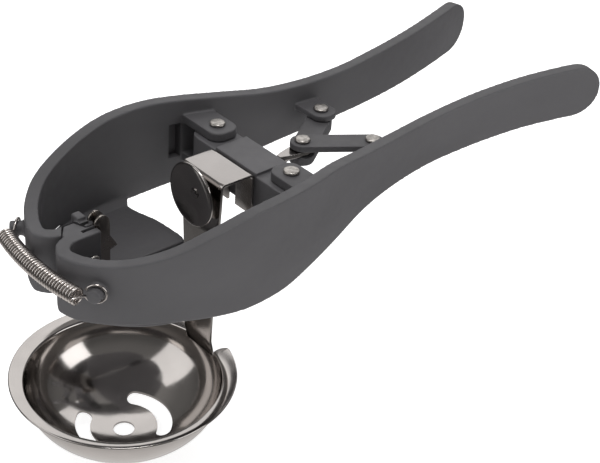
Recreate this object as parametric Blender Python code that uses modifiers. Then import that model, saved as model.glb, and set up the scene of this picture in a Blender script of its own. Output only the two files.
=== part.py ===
"""Egg cracker with a hanging separator bowl, as an assembly of separate solids.

Units are metres and +Z is up. The origin is the centre of the bridge block's flat top,
midway between the two pivot rivets. The grips point along +X and the jaws along -X.
Left is -Y and right is +Y, as seen by the user who holds the grips.
"""
import math

import bmesh
import bpy
import numpy as np
from mathutils import Matrix, Vector

MM = 0.001
PART_NAME = "egg_cracker"

# clearances
GAP = 0.3 * MM              # between pieces that touch
PIN_GAP = 0.3 * MM          # round a pin in its hole

# bridge block
PIVOT_Y = 21.2 * MM         # half the distance between the pivot rivets
BLOCK_FRONT = -8.2 * MM
BLOCK_REAR = 6.4 * MM
BLOCK_HEIGHT = 14.8 * MM
BLOCK_RAISED_HALF = 11.7 * MM
BLOCK_STEP = 1.3 * MM       # how far the ends lie below the raised middle
BLOCK_END_RADIUS = 7.3 * MM

# levers
NOSE_REACH = 88.8 * MM      # from the pivots to the front of the nose
GRIP_REACH = 139.0 * MM     # from the pivots to the grip's end, before its rounding
BELLY_HALF_WIDTH = 43.0 * MM
WALL = 4.9 * MM
NOSE_RADIUS = 8.6 * MM
ARM_LENGTH = 10.5 * MM      # straight inner arm behind the nose's curl
TIP_RADIUS = 9.0 * MM
EDGE_ROUND = 1.3 * MM
LUG_THICKNESS = 3.5 * MM
LINK_LUG_THICKNESS = 2.4 * MM
LUG_HALF_WIDTH = 6.0 * MM
LUG_CORNER = 4.5 * MM

# toggle
LINK_LUG_X = 46.5 * MM      # lever rivets of the links, from the pivots
LINK_LUG_Y = 14.8 * MM
TOGGLE_X = 24.1 * MM
LINK_HALF_WIDTH = 4.8 * MM
LEFT_LINK_THICKNESS = 2.5 * MM
RIGHT_LINK_THICKNESS = 5.6 * MM    # halved round the rod's flat end
LINK_PIN_GAP = 0.45 * MM    # wider at the pivot that closes the linkage's loop

# plunger
ROD_Z = -7.4 * MM
ROD_RADIUS = 1.8 * MM
SPIGOT_RADIUS = 1.3 * MM
PADDLE_TOP = -5.1 * MM      # the rod's flat end, between the links
PADDLE_SHEET = 1.9 * MM
PADDLE_RADIUS = 3.6 * MM
STROKE = 5.4 * MM
DISC_RIM_X = -28.7 * MM
DISC_RADIUS = 12.2 * MM
DISC_SHEET = 1.0 * MM
DISC_DISH = 2.2 * MM        # depth of the dish that takes the egg's end

# rivets
PIN_RADIUS = 2.0 * MM
PIN_HEAD_RADIUS = 3.0 * MM
PIN_HEAD_HEIGHT = 1.1 * MM

# hanger and bowl
HANGER_SHEET = 1.0 * MM
HANGER_FRONT = -23.7 * MM
HANGER_TOP_HALF = 11.3 * MM
HANGER_FOOT_HALF = 7.9 * MM
HANGER_REAR_DEPTH = 17.0 * MM
HANGER_FOOT_X = -21.7 * MM  # middle of the sheet at the foot
HANGER_FOOT_DEPTH = 2.0 * MM  # below the bowl's lip
BOWL_X = -57.6 * MM
BOWL_RIM_Z = -74.0 * MM     # the flange's outer edge
BOWL_RIM_RADIUS = 42.0 * MM
BOWL_FLANGE = 5.5 * MM
BOWL_FLANGE_DROP = 2.0 * MM   # from the outer edge down to the lip
BOWL_SHEET = 0.8 * MM
BOWL_DEPTH = 25.5 * MM      # inside, below the lip
SLOT_PITCH_RADIUS = 15.5 * MM
SLOT_WIDTH = 5.6 * MM
SLOT_SWEEP = math.radians(92)
SLOT_TURN = math.radians(-6)
DRAIN_RADIUS = 4.0 * MM

# egg floors
FLOOR_SHEET = 1.9 * MM
FLOOR_REAR = -30.2 * MM
FLOOR_FRONT = -61.0 * MM
FLOOR_MIDDLE_Z = -26.6 * MM
FLOOR_CREASE_Z = -28.9 * MM
FLOOR_CREASE_INSET = 4.6 * MM
PAD_FRONT = -51.0 * MM
PAD_TOP_Z = -14.5 * MM
UPSTAND_HEIGHT = 4.5 * MM   # where there is no pad

# blades
BLADE_SHEET = 0.9 * MM
BLADE_Y = 1.9 * MM
BLADE_FRONT = -69.2 * MM
BLADE_WIDTH = 4.8 * MM
BLADE_BOTTOM_Z = -23.6 * MM
BLADE_TOP_Z = -0.6 * MM
BLADE_ROOT = 6.0 * MM
BLADE_RIVET_X = -73.2 * MM
BLADE_RIVET_Z = -15.0 * MM
BLADE_RIVET_RADIUS = 1.1 * MM

# return spring
STUD_PLACE = 0.932          # share of the nose's reach
STUD_Z = -13.0 * MM
STUD_RADIUS = 2.6 * MM
STUD_LENGTH = 5.2 * MM
SPRING_WIRE = 1.1 * MM
SPRING_RADIUS = 2.7 * MM    # to the middle of the wire
SPRING_PITCH = 1.45 * MM
SPRING_TURN_POINTS = 8
SPRING_CLEARANCE = 0.8 * MM  # between the coil and the noses
STUD_HOLD = 0.5             # share of a stud's length at which its loop sits

ARC_STEP = math.radians(22.5)
ROUND_STEPS = 24

DARK_PLASTIC = ("dark_plastic", (0.085, 0.085, 0.09), 0.0, 0.5)
STEEL = ("polished_steel", (0.62, 0.60, 0.58), 1.0, 0.15)
RIVET_STEEL = ("rivet_steel", (0.5, 0.47, 0.45), 1.0, 0.35)
SPRING_STEEL = ("spring_steel", (0.55, 0.52, 0.5), 1.0, 0.25)


def clear_scene():
    for old in list(bpy.data.objects):
        bpy.data.objects.remove(old, do_unlink=True)


def make_collection(name):
    collection = bpy.data.collections.new(name)
    bpy.context.scene.collection.children.link(collection)
    return collection


def make_material(spec):
    name, colour, metallic, roughness = spec
    material = bpy.data.materials.new(name)
    material.use_nodes = True
    shader = material.node_tree.nodes["Principled BSDF"]
    shader.inputs["Base Color"].default_value = (*colour, 1.0)
    shader.inputs["Metallic"].default_value = metallic
    shader.inputs["Roughness"].default_value = roughness
    return material


def add_mesh_object(name, mesh, collection):
    piece = bpy.data.objects.new(name, mesh)
    collection.objects.link(piece)
    return piece


def finish_piece(piece, material, sharp_degrees=35):
    """Give a piece its own material and smooth shading."""
    piece.data.materials.clear()
    piece.data.materials.append(make_material(material))
    piece.data.shade_smooth()
    piece.data.set_sharp_from_angle(angle=math.radians(sharp_degrees))
    return piece


def arc_points(centre_x, centre_y, radius, start, end):
    """Points along an arc from start to end, in radians, both ends included."""
    steps = max(1, round(abs(end - start) / ARC_STEP))
    angles = np.linspace(start, end, steps + 1)
    return [(centre_x + radius * math.cos(a), centre_y + radius * math.sin(a)) for a in angles]


def rounded_outline(corners):
    """Outline through (x, y, radius) corners, each rounded with a tangent arc."""
    outline = []
    count = len(corners)
    for index, (x, y, radius) in enumerate(corners):
        here = Vector((x, y))
        to_last = (Vector(corners[index - 1][:2]) - here).normalized()
        to_next = (Vector(corners[(index + 1) % count][:2]) - here).normalized()
        if radius <= 0:
            outline.append((x, y))
            continue
        half = to_last.angle(to_next) / 2
        centre = here + (to_last + to_next).normalized() * (radius / math.sin(half))
        start = here + to_last * (radius / math.tan(half)) - centre
        end = here + to_next * (radius / math.tan(half)) - centre
        first = math.atan2(start.y, start.x)
        turn = math.atan2(end.y, end.x) - first
        turn = (turn + math.pi) % (2 * math.pi) - math.pi
        outline += arc_points(centre.x, centre.y, radius, first, first + turn)
    return outline


def mesh_from_curve(curve_object, collection):
    """Replace a curve object with a mesh whose caps are welded on."""
    bpy.context.view_layer.update()
    evaluated = curve_object.evaluated_get(bpy.context.evaluated_depsgraph_get())
    mesh = bpy.data.meshes.new_from_object(evaluated)
    body = bmesh.new()
    body.from_mesh(mesh)
    bmesh.ops.remove_doubles(body, verts=body.verts, dist=1e-6)
    bmesh.ops.recalc_face_normals(body, faces=body.faces)
    body.to_mesh(mesh)
    body.free()
    name = curve_object.name
    matrix = curve_object.matrix_world.copy()
    bpy.data.objects.remove(curve_object, do_unlink=True)
    piece = add_mesh_object(name, mesh, collection)
    piece.matrix_world = matrix
    return piece


def plate(name, outline, thickness, matrix, collection):
    """Flat piece: an outline in its own XY plane, its thickness centred on that plane."""
    curve = bpy.data.curves.new(name, "CURVE")
    curve.dimensions = "2D"
    curve.fill_mode = "BOTH"
    curve.extrude = thickness / 2
    spline = curve.splines.new("POLY")
    spline.points.add(len(outline) - 1)
    for point, (x, y) in zip(spline.points, outline):
        point.co = (x, y, 0, 1)
    spline.use_cyclic_u = True
    curve_object = add_mesh_object(name, curve, collection)
    curve_object.matrix_world = matrix
    return mesh_from_curve(curve_object, collection)


def level_plate(name, outline, bottom, top, collection):
    """Flat piece lying level between two heights."""
    return plate(name, outline, top - bottom, Matrix.Translation((0, 0, (top + bottom) / 2)), collection)


UPRIGHT = Matrix.Rotation(math.radians(90), 4, "X")     # plate's Y becomes +Z, its normal -Y
TO_FRONT = Matrix.Rotation(math.radians(-90), 4, "Y")   # a turned piece's +Z becomes -X


def cylinder(name, radius, length, matrix, collection, steps=ROUND_STEPS):
    """Cylinder along its own Z, centred, turned and moved by the matrix."""
    mesh = bpy.data.meshes.new(name)
    body = bmesh.new()
    bmesh.ops.create_cone(body, cap_ends=True, segments=steps, radius1=radius, radius2=radius, depth=length)
    body.to_mesh(mesh)
    body.free()
    piece = add_mesh_object(name, mesh, collection)
    piece.matrix_world = matrix
    return piece


def box(name, low, high, collection):
    mesh = bpy.data.meshes.new(name)
    body = bmesh.new()
    size = [b - a for a, b in zip(low, high)]
    bmesh.ops.create_cube(body, size=1.0, matrix=Matrix.Diagonal((*size, 1)))
    body.to_mesh(mesh)
    body.free()
    piece = add_mesh_object(name, mesh, collection)
    piece.location = [(a + b) / 2 for a, b in zip(low, high)]
    return piece


def turned(name, profile, matrix, collection, steps=ROUND_STEPS):
    """Turned piece from (radius, height) points that run down the outer side."""
    mesh = bpy.data.meshes.new(name)
    points = [(radius, 0, height) for radius, height in profile]
    edges = [(i, i + 1) for i in range(len(points) - 1)]
    mesh.from_pydata(points, edges, [])
    piece = add_mesh_object(name, mesh, collection)
    screw = piece.modifiers.new("turn", "SCREW")
    screw.axis = "Z"
    screw.angle = math.tau
    screw.steps = steps
    screw.render_steps = steps
    screw.use_merge_vertices = True
    screw.merge_threshold = 1e-6
    piece.matrix_world = matrix
    return piece


def combine(piece, tool, operation, cutters):
    """Boolean one shape with another, which moves to the cutters' collection."""
    modifier = piece.modifiers.new(f"{operation.lower()}_{tool.name}", "BOOLEAN")
    modifier.operation = operation
    modifier.solver = "EXACT"
    modifier.object = tool
    for owner in list(tool.users_collection):
        owner.objects.unlink(tool)
    cutters.objects.link(tool)
    tool.hide_render = True
    tool.display_type = "WIRE"
    return piece


def smooth_points(points, per_span):
    """Catmull-Rom curve through the points, with a few steps for each span."""
    knots = np.array(points, float)
    ends = np.vstack([2 * knots[0] - knots[1], knots, 2 * knots[-1] - knots[-2]])
    result = []
    for index in range(len(knots) - 1):
        a, b, c, d = ends[index:index + 4]
        for step in range(per_span):
            t = step / per_span
            result.append(0.5 * (2 * b + (c - a) * t + (2 * a - 5 * b + 4 * c - d) * t ** 2
                                 + (3 * b - a - 3 * c + d) * t ** 3))
    result.append(knots[-1])
    return np.array(result)


# ---------------------------------------------------------------- levers

def lever_stations():
    """Stations of the right lever's outer face: x, y, top and bottom heights."""
    seam = GAP
    centre_x = -NOSE_REACH + NOSE_RADIUS
    centre_y = seam + NOSE_RADIUS
    arm_end = centre_x + ARM_LENGTH
    stations = [(arm_end, seam, -4.3 * MM, -27.0 * MM),
                ((arm_end + centre_x) / 2, seam, -4.4 * MM, -27.4 * MM)]
    curl = arc_points(centre_x, centre_y, NOSE_RADIUS, math.radians(270), math.radians(180))
    for index, (x, y) in enumerate(curl):
        share = index / (len(curl) - 1)
        stations.append((x, y, -(4.5 + 0.5 * share) * MM, -(27.8 + 0.6 * share) * MM))
    # belly and grip: shares of the nose's or grip's reach, shares of the belly's half width
    belly = [(-0.972, 0.380, -4.8, -28.2), (-0.913, 0.580, -3.7, -26.9), (-0.822, 0.765, -1.4, -25.7),
             (-0.700, 0.895, 1.6, -25.9), (-0.550, 0.972, 5.6, -27.6), (-0.400, 1.000, 8.4, -28.9),
             (-0.225, 0.988, 9.2, -28.2), (-0.060, 0.920, 8.6, -26.0)]
    grip = [(0.080, 0.808, 7.4, -23.8), (0.206, 0.720, 5.5, -18.6), (0.333, 0.662, 5.2, -15.4),
            (0.475, 0.632, 6.3, -13.4), (0.610, 0.650, 8.2, -12.2), (0.716, 0.686, 9.5, -11.3),
            (0.823, 0.744, 10.7, -10.4), (0.930, 0.826, 11.6, -9.9), (1.000, 0.888, 12.0, -9.6)]
    for reach, rows in ((NOSE_REACH, belly), (GRIP_REACH, grip)):
        for along, across, top, bottom in rows:
            stations.append((along * reach, across * BELLY_HALF_WIDTH, top * MM, bottom * MM))
    return stations


def lever_columns():
    """The outer face's columns, with the grip's end rounded in side view."""
    path = smooth_points(lever_stations(), 3)
    last = path[-1]
    along = (path[-1, :2] - path[-2, :2]) / np.linalg.norm(path[-1, :2] - path[-2, :2])
    middle = (last[2] + last[3]) / 2
    half = (last[2] - last[3]) / 2
    tip = []
    for angle in np.linspace(0, math.radians(80), 6)[1:]:
        place = last[:2] + along * TIP_RADIUS * math.sin(angle)
        height = half * math.cos(angle) ** 0.75
        tip.append((place[0], place[1], middle + height, middle - height))
    return np.vstack([path, tip])


def wall_place(x, columns):
    """Outer face's y at a given x, on the belly and grip side of the nose."""
    first = int(np.argmin(columns[:, 0]))
    return float(np.interp(x, columns[first:, 0], columns[first:, 1]))


def lever_lug(name, side, x, y, root_y, half_width, corner, bottom, top, collection):
    """Level lug from a lever's wall to beyond a rivet at (x, y)."""
    end_y = y - half_width * 1.15
    outline = rounded_outline([(x - half_width, root_y, 0), (x - half_width, end_y, corner),
                               (x + half_width, end_y, corner), (x + half_width, root_y, 0)])
    outline = [(px, side * py) for px, py in outline]
    return level_plate(name, outline, bottom, top, collection)


def make_lever(side, parts, cutters):
    name = "right_lever" if side > 0 else "left_lever"
    columns = lever_columns()
    points = []
    for x, y, top, bottom in columns:
        points += [(x, side * y, bottom), (x, side * y, top)]
    faces = []
    for index in range(len(columns) - 1):
        a, b = 2 * index, 2 * index + 2
        quad = (b, a, a + 1, b + 1)
        faces.append(quad if side > 0 else quad[::-1])
    mesh = bpy.data.meshes.new(name)
    mesh.from_pydata(points, [], faces)
    lever = add_mesh_object(name, mesh, parts)
    solidify = lever.modifiers.new("wall", "SOLIDIFY")
    solidify.thickness = WALL
    solidify.offset = -1
    solidify.use_even_offset = True
    bevel = lever.modifiers.new("rounded_edges", "BEVEL")
    bevel.width = EDGE_ROUND
    bevel.segments = 2
    bevel.limit_method = "ANGLE"
    bevel.angle_limit = math.radians(50)

    lug_root = wall_place(0, columns) - WALL / 2
    upper_bottom = -BLOCK_STEP + GAP
    lower_top = -BLOCK_HEIGHT + BLOCK_STEP - GAP
    for label, bottom in (("upper", upper_bottom), ("lower", lower_top - LUG_THICKNESS)):
        lug = lever_lug(f"{name}_{label}_lug", side, 0, PIVOT_Y, lug_root, LUG_HALF_WIDTH, LUG_CORNER,
                        bottom, bottom + LUG_THICKNESS, parts)
        combine(lever, lug, "UNION", cutters)
    link_root = wall_place(LINK_LUG_X, columns) - WALL / 2
    top = link_lug_top(side)
    lug = lever_lug(f"{name}_link_lug", side, LINK_LUG_X, LINK_LUG_Y, link_root, LINK_HALF_WIDTH + 0.5 * MM,
                    LINK_HALF_WIDTH, top - LINK_LUG_THICKNESS, top, parts)
    combine(lever, lug, "UNION", cutters)
    add_stud(lever, side, cutters, parts)
    add_nose_lock(lever, side, cutters, parts)

    for hole_x, hole_y in ((0, PIVOT_Y), (LINK_LUG_X, LINK_LUG_Y)):
        hole = cylinder(f"{name}_hole", PIN_RADIUS + PIN_GAP, 60 * MM,
                        Matrix.Translation((hole_x, side * hole_y, 0)), parts)
        combine(lever, hole, "DIFFERENCE", cutters)
    cut_wall_pocket(lever, side, columns, cutters, parts)
    cut_blade_slot(lever, side, cutters, parts)
    return finish_piece(lever, DARK_PLASTIC)


def stud_frame(side):
    """Centre of a stud's foot on the lever's outer face, and the face's normal there."""
    columns = lever_columns()
    x = -STUD_PLACE * NOSE_REACH
    y = wall_place(x, columns)
    slope = (wall_place(x + 2 * MM, columns) - wall_place(x - 2 * MM, columns)) / (4 * MM)
    normal = Vector((-slope, 1, 0)).normalized()
    return Vector((x, side * y, STUD_Z)), Vector((normal.x, side * normal.y, 0))


def add_stud(lever, side, cutters, parts):
    foot, normal = stud_frame(side)
    turn = normal.to_track_quat("Z", "Y").to_matrix().to_4x4()
    inside = 2 * MM
    stud = cylinder(f"{lever.name}_stud", STUD_RADIUS, STUD_LENGTH + inside,
                    Matrix.Translation(foot + normal * (STUD_LENGTH - inside) / 2) @ turn, parts, 16)
    combine(lever, stud, "UNION", cutters)


def nose_tongue_outline(margin):
    """Tongue of the left arm that crosses the seam, with a margin all round."""
    back = -1.5 * MM
    return [(-81.8 * MM - margin, back), (-72.7 * MM + margin, back), (-72.7 * MM + margin, GAP),
            (-74.4 * MM + margin, 4.6 * MM + margin), (-78.6 * MM - margin, 4.6 * MM + margin),
            (-81.8 * MM - margin, GAP)]


def add_nose_lock(lever, side, cutters, parts):
    """Left: a flat tongue over the seam. Right: the recess for it, and a small raised block."""
    top = -4.5 * MM
    bottom = -7.2 * MM
    if side < 0:
        tongue = level_plate("left_tongue", nose_tongue_outline(0), bottom, top, parts)
        combine(lever, tongue, "UNION", cutters)
        return
    recess = level_plate("right_recess", nose_tongue_outline(0.5 * MM), bottom - 0.4 * MM, top + 6 * MM, parts)
    combine(lever, recess, "DIFFERENCE", cutters)
    block = box("right_nose_block", (-73.4 * MM, 3.6 * MM, -8 * MM), (-70.0 * MM, 8.0 * MM, -2.8 * MM), parts)
    combine(lever, block, "UNION", cutters)


def cut_wall_pocket(lever, side, columns, cutters, parts):
    """Shallow pocket in the belly wall, just in front of the pivot lugs."""
    x_low, x_high, depth = -11.4 * MM, -LUG_HALF_WIDTH - 0.6 * MM, 1.8 * MM
    face = wall_place(x_high, columns) - WALL
    low_y, high_y = sorted((side * (face - 4 * MM), side * (face + depth)))
    pocket = box(f"{lever.name}_pocket", (x_low, low_y, -15.5 * MM), (x_high, high_y, -1 * MM), parts)
    combine(lever, pocket, "DIFFERENCE", cutters)


def cut_blade_slot(lever, side, cutters, parts):
    half = BLADE_SHEET / 2 + GAP
    low_y, high_y = sorted((side * (BLADE_Y - half), side * (BLADE_Y + half)))
    slot = box(f"{lever.name}_blade_slot", (BLADE_FRONT - BLADE_ROOT - GAP, low_y, -60 * MM),
               (BLADE_FRONT + 4 * MM, high_y, 20 * MM), parts)
    combine(lever, slot, "DIFFERENCE", cutters)
    hole = cylinder(f"{lever.name}_blade_hole", BLADE_RIVET_RADIUS + GAP, 2 * WALL + 4 * MM,
                    Matrix.Translation((BLADE_RIVET_X, side * WALL, BLADE_RIVET_Z)) @ UPRIGHT, parts, 16)
    combine(lever, hole, "DIFFERENCE", cutters)


def link_top(side):
    """Height of a toggle link's upper face: the left one lies on the rod's flat end."""
    if side < 0:
        return PADDLE_TOP + GAP + LEFT_LINK_THICKNESS
    return PADDLE_TOP


def link_thickness(side):
    return LEFT_LINK_THICKNESS if side < 0 else RIGHT_LINK_THICKNESS


def link_lug_top(side):
    """The left lug is under its link, the right lug above its link."""
    if side < 0:
        return link_top(side) - LEFT_LINK_THICKNESS - GAP
    return link_top(side) + GAP + LINK_LUG_THICKNESS


# ---------------------------------------------------------------- egg floors and blades

def make_egg_floor(side, parts):
    """Half floor: an upstand along the wall, a crease, and a shallow dish to the seam."""
    name = "right_egg_floor" if side > 0 else "left_egg_floor"
    columns = lever_columns()
    step = 0.8 * MM
    stations = [*np.linspace(FLOOR_FRONT, PAD_FRONT - step, 4), *np.linspace(PAD_FRONT, FLOOR_REAR, 6)]
    inner_y = GAP + 0.4 * MM
    points = []
    for x in stations:
        slope = (wall_place(x + 2 * MM, columns) - wall_place(x - 2 * MM, columns)) / (4 * MM)
        wall = wall_place(x, columns) - (WALL + 2 * GAP) * math.hypot(1, slope)
        crease = wall - FLOOR_CREASE_INSET
        pad_top = PAD_TOP_Z if x > PAD_FRONT - step / 2 else FLOOR_CREASE_Z + UPSTAND_HEIGHT
        middle_z = (FLOOR_CREASE_Z + FLOOR_MIDDLE_Z) / 2
        section = [(wall, pad_top), (wall, FLOOR_CREASE_Z + 3 * MM), (crease, FLOOR_CREASE_Z - FLOOR_SHEET),
                   ((crease + inner_y) / 2, middle_z - 0.5 * MM - FLOOR_SHEET),
                   (inner_y, FLOOR_MIDDLE_Z - FLOOR_SHEET)]
        points += [(x, side * y, z) for y, z in section]
    rows = 5
    faces = []
    for column in range(len(stations) - 1):
        for row in range(rows - 1):
            a = column * rows + row
            quad = (a, a + rows, a + rows + 1, a + 1)
            faces.append(quad if side > 0 else quad[::-1])
    mesh = bpy.data.meshes.new(name)
    mesh.from_pydata(points, [], faces)
    floor = add_mesh_object(name, mesh, parts)
    solidify = floor.modifiers.new("sheet", "SOLIDIFY")
    solidify.thickness = FLOOR_SHEET
    solidify.offset = -1
    return finish_piece(floor, DARK_PLASTIC, 40)


def blade_outline():
    """Blade in side view: root, forward hook at the top, triangular tooth at the rear."""
    front, rear = BLADE_FRONT, BLADE_FRONT + BLADE_WIDTH
    top = BLADE_TOP_Z
    root_x = front - BLADE_ROOT
    hook = [(front - 1.4 * MM, top - 3.0 * MM), (front - 1.0 * MM, top - 1.5 * MM),
            (front, top - 0.5 * MM), (front + 1.5 * MM, top), (front + 3.1 * MM, top - 0.5 * MM),
            (rear - 0.4 * MM, top - 2.0 * MM), (rear, top - 4.5 * MM)]
    under_hook = [(front + 0.9 * MM, top - 5.0 * MM), (front + 0.3 * MM, top - 3.6 * MM)]
    tooth = [(rear, -9.6 * MM), (rear + 3.0 * MM, -14.6 * MM), (rear, -15.6 * MM)]
    return ([(front, BLADE_BOTTOM_Z), (front, -21.5 * MM), (root_x, -21.5 * MM), (root_x, -8.0 * MM),
             (front, -8.0 * MM)] + under_hook + hook + tooth + [(rear, BLADE_BOTTOM_Z)])


def make_blade(side, parts, cutters):
    name = "right_blade" if side > 0 else "left_blade"
    matrix = Matrix.Translation((0, side * BLADE_Y, 0)) @ UPRIGHT
    blade = plate(name, blade_outline(), BLADE_SHEET, matrix, parts)
    hole = cylinder(f"{name}_hole", BLADE_RIVET_RADIUS + GAP, 4 * MM,
                    Matrix.Translation((BLADE_RIVET_X, side * BLADE_Y, BLADE_RIVET_Z)) @ UPRIGHT, parts, 16)
    combine(blade, hole, "DIFFERENCE", cutters)
    return finish_piece(blade, STEEL)


def make_blade_rivet(side, parts):
    """Cross rivet with its head on the arm's inner side."""
    name = "right_blade_rivet" if side > 0 else "left_blade_rivet"
    head_y = GAP + WALL + GAP
    profile = [(0, 1.0 * MM), (1.4 * MM, 0.8 * MM), (2.2 * MM, 0), (BLADE_RIVET_RADIUS, 0),
               (BLADE_RIVET_RADIUS, -(WALL + GAP)), (0, -(WALL + GAP))]
    turn = Matrix.Rotation(math.radians(-90 * side), 4, "X")
    matrix = Matrix.Translation((BLADE_RIVET_X, side * head_y, BLADE_RIVET_Z)) @ turn
    return finish_piece(turned(name, profile, matrix, parts, 16), RIVET_STEEL)


# ---------------------------------------------------------------- bridge block and rivets

def make_bridge_block(parts, cutters):
    """Block with a raised middle, round lowered ends, pin holes and the plunger's bore."""
    depth_mid = (BLOCK_FRONT + BLOCK_REAR) / 2
    end = PIVOT_Y + BLOCK_END_RADIUS
    outline = rounded_outline([(BLOCK_FRONT, -end, 5.5 * MM), (BLOCK_REAR, -end, 5.5 * MM),
                               (BLOCK_REAR, end, 5.5 * MM), (BLOCK_FRONT, end, 5.5 * MM)])
    block = level_plate("bridge_block", outline, -BLOCK_HEIGHT, 0, parts)
    for side in (-1, 1):
        low_y, high_y = sorted((side * BLOCK_RAISED_HALF, side * (end + 5 * MM)))
        for label, low_z, high_z in (("top", -BLOCK_STEP, 5 * MM),
                                     ("bottom", -BLOCK_HEIGHT - 5 * MM, -BLOCK_HEIGHT + BLOCK_STEP)):
            step = box(f"block_step_{label}", (BLOCK_FRONT - 5 * MM, low_y, low_z),
                       (BLOCK_REAR + 5 * MM, high_y, high_z), parts)
            combine(block, step, "DIFFERENCE", cutters)
        hole = cylinder("block_pin_hole", PIN_RADIUS + PIN_GAP, 60 * MM,
                        Matrix.Translation((0, side * PIVOT_Y, 0)), parts)
        combine(block, hole, "DIFFERENCE", cutters)
    bore = cylinder("block_rod_bore", ROD_RADIUS + GAP, 40 * MM,
                    Matrix.Translation((depth_mid, 0, ROD_Z)) @ TO_FRONT, parts)
    combine(block, bore, "DIFFERENCE", cutters)
    return finish_piece(block, DARK_PLASTIC)


def rivet_profile(radius, head_radius, head_height, length, tail_radius, tail_height):
    """Domed head with its underside at height 0, a shank below, and a peened tail."""
    profile = [(0, head_height), (head_radius * 0.6, head_height * 0.92),
               (head_radius * 0.92, head_height * 0.55), (head_radius, head_height * 0.15), (head_radius * 0.97, 0), (radius, 0), (radius, -length)]
    if tail_radius:
        profile += [(tail_radius, -length), (tail_radius * 0.8, -length - tail_height)]
        return profile + [(0, -length - tail_height)]
    return profile + [(0, -length)]


def make_pin(name, x, y, top, bottom, material, parts):
    """Vertical rivet whose head sits just above top and whose tail sits just below bottom."""
    profile = rivet_profile(PIN_RADIUS, PIN_HEAD_RADIUS, PIN_HEAD_HEIGHT, top - bottom + 2 * GAP,
                            PIN_HEAD_RADIUS * 0.9, 0.8 * MM)
    return finish_piece(turned(name, profile, Matrix.Translation((x, y, top + GAP)), parts, 20), material)


def make_pins(parts):
    upper = -BLOCK_STEP + GAP + LUG_THICKNESS
    lower = -BLOCK_HEIGHT + BLOCK_STEP - GAP - LUG_THICKNESS
    make_pin("left_pivot_rivet", 0, -PIVOT_Y, upper, lower, RIVET_STEEL, parts)
    make_pin("right_pivot_rivet", 0, PIVOT_Y, upper, lower, RIVET_STEEL, parts)
    make_pin("left_link_rivet", LINK_LUG_X, -LINK_LUG_Y, link_top(-1), link_lug_top(-1) - LINK_LUG_THICKNESS,
             RIVET_STEEL, parts)
    make_pin("right_link_rivet", LINK_LUG_X, LINK_LUG_Y, link_lug_top(1), link_top(1) - RIGHT_LINK_THICKNESS,
             RIVET_STEEL, parts)
    make_pin("toggle_pin", TOGGLE_X, 0, link_top(-1), link_top(1) - RIGHT_LINK_THICKNESS, RIVET_STEEL, parts)


# ---------------------------------------------------------------- toggle and plunger

def make_link(side, parts, cutters):
    """Link with round ends from the lever's rivet to the toggle pin; the right one is halved there."""
    name = "right_link" if side > 0 else "left_link"
    reach_x = LINK_LUG_X - TOGGLE_X
    reach_y = side * LINK_LUG_Y
    length = math.hypot(reach_x, reach_y)
    outline = (arc_points(length, 0, LINK_HALF_WIDTH, -math.pi / 2, math.pi / 2)
               + arc_points(0, 0, LINK_HALF_WIDTH, math.pi / 2, 3 * math.pi / 2))
    middle = link_top(side) - link_thickness(side) / 2
    matrix = (Matrix.Translation((TOGGLE_X, 0, middle))
              @ Matrix.Rotation(math.atan2(reach_y, reach_x), 4, "Z"))
    link = plate(name, outline, link_thickness(side), matrix, parts)
    for hole_x, hole_y, gap in ((TOGGLE_X, 0, LINK_PIN_GAP), (LINK_LUG_X, reach_y, PIN_GAP)):
        hole = cylinder(f"{name}_hole", PIN_RADIUS + gap, 40 * MM,
                        Matrix.Translation((hole_x, hole_y, 0)), parts)
        combine(link, hole, "DIFFERENCE", cutters)
    if side > 0:
        floor = PADDLE_TOP - PADDLE_SHEET - GAP
        half = cylinder(f"{name}_halving", LINK_HALF_WIDTH + 1.5 * MM, PADDLE_TOP - floor + 2 * MM,
                        Matrix.Translation((TOGGLE_X, 0, (PADDLE_TOP + floor) / 2 + 1 * MM)), parts, 40)
        combine(link, half, "DIFFERENCE", cutters)
    return finish_piece(link, DARK_PLASTIC)


def disc_front(radius):
    """Place of the disc's front face along X at a radius: a shallow dish."""
    return DISC_RIM_X + DISC_DISH * (1 - (radius / DISC_RADIUS) ** 2)


def make_plunger_rod(parts, cutters):
    """Round rod from the disc to a flat round end that holds the toggle pin."""
    front = disc_front(0) + DISC_SHEET + GAP
    neck = BLOCK_REAR + STROKE + 2 * GAP
    end = TOGGLE_X - LINK_HALF_WIDTH - 2 * GAP
    profile = [(0, -front), (ROD_RADIUS, -front), (ROD_RADIUS, -neck - 1.5 * MM),
               (ROD_RADIUS * 0.45, -end), (0, -end)]
    rod = turned("plunger_rod", profile, Matrix.Translation((0, 0, ROD_Z)) @ TO_FRONT, parts, 20)
    flare = [(neck, ROD_RADIUS * 0.55), (neck + 2.5 * MM, ROD_RADIUS * 1.05),
             (TOGGLE_X - 5 * MM, PADDLE_RADIUS * 0.8)]
    reach = math.radians(115)
    outline = ([(x, -y) for x, y in flare] + arc_points(TOGGLE_X, 0, PADDLE_RADIUS, -reach, reach)
               + flare[::-1])
    paddle = level_plate("rod_paddle", outline, PADDLE_TOP - PADDLE_SHEET, PADDLE_TOP, parts)
    combine(rod, paddle, "UNION", cutters)
    hole = cylinder("rod_pin_hole", PIN_RADIUS + PIN_GAP, 20 * MM,
                    Matrix.Translation((TOGGLE_X, 0, ROD_Z)), parts)
    combine(rod, hole, "DIFFERENCE", cutters)
    return finish_piece(rod, STEEL)


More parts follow.
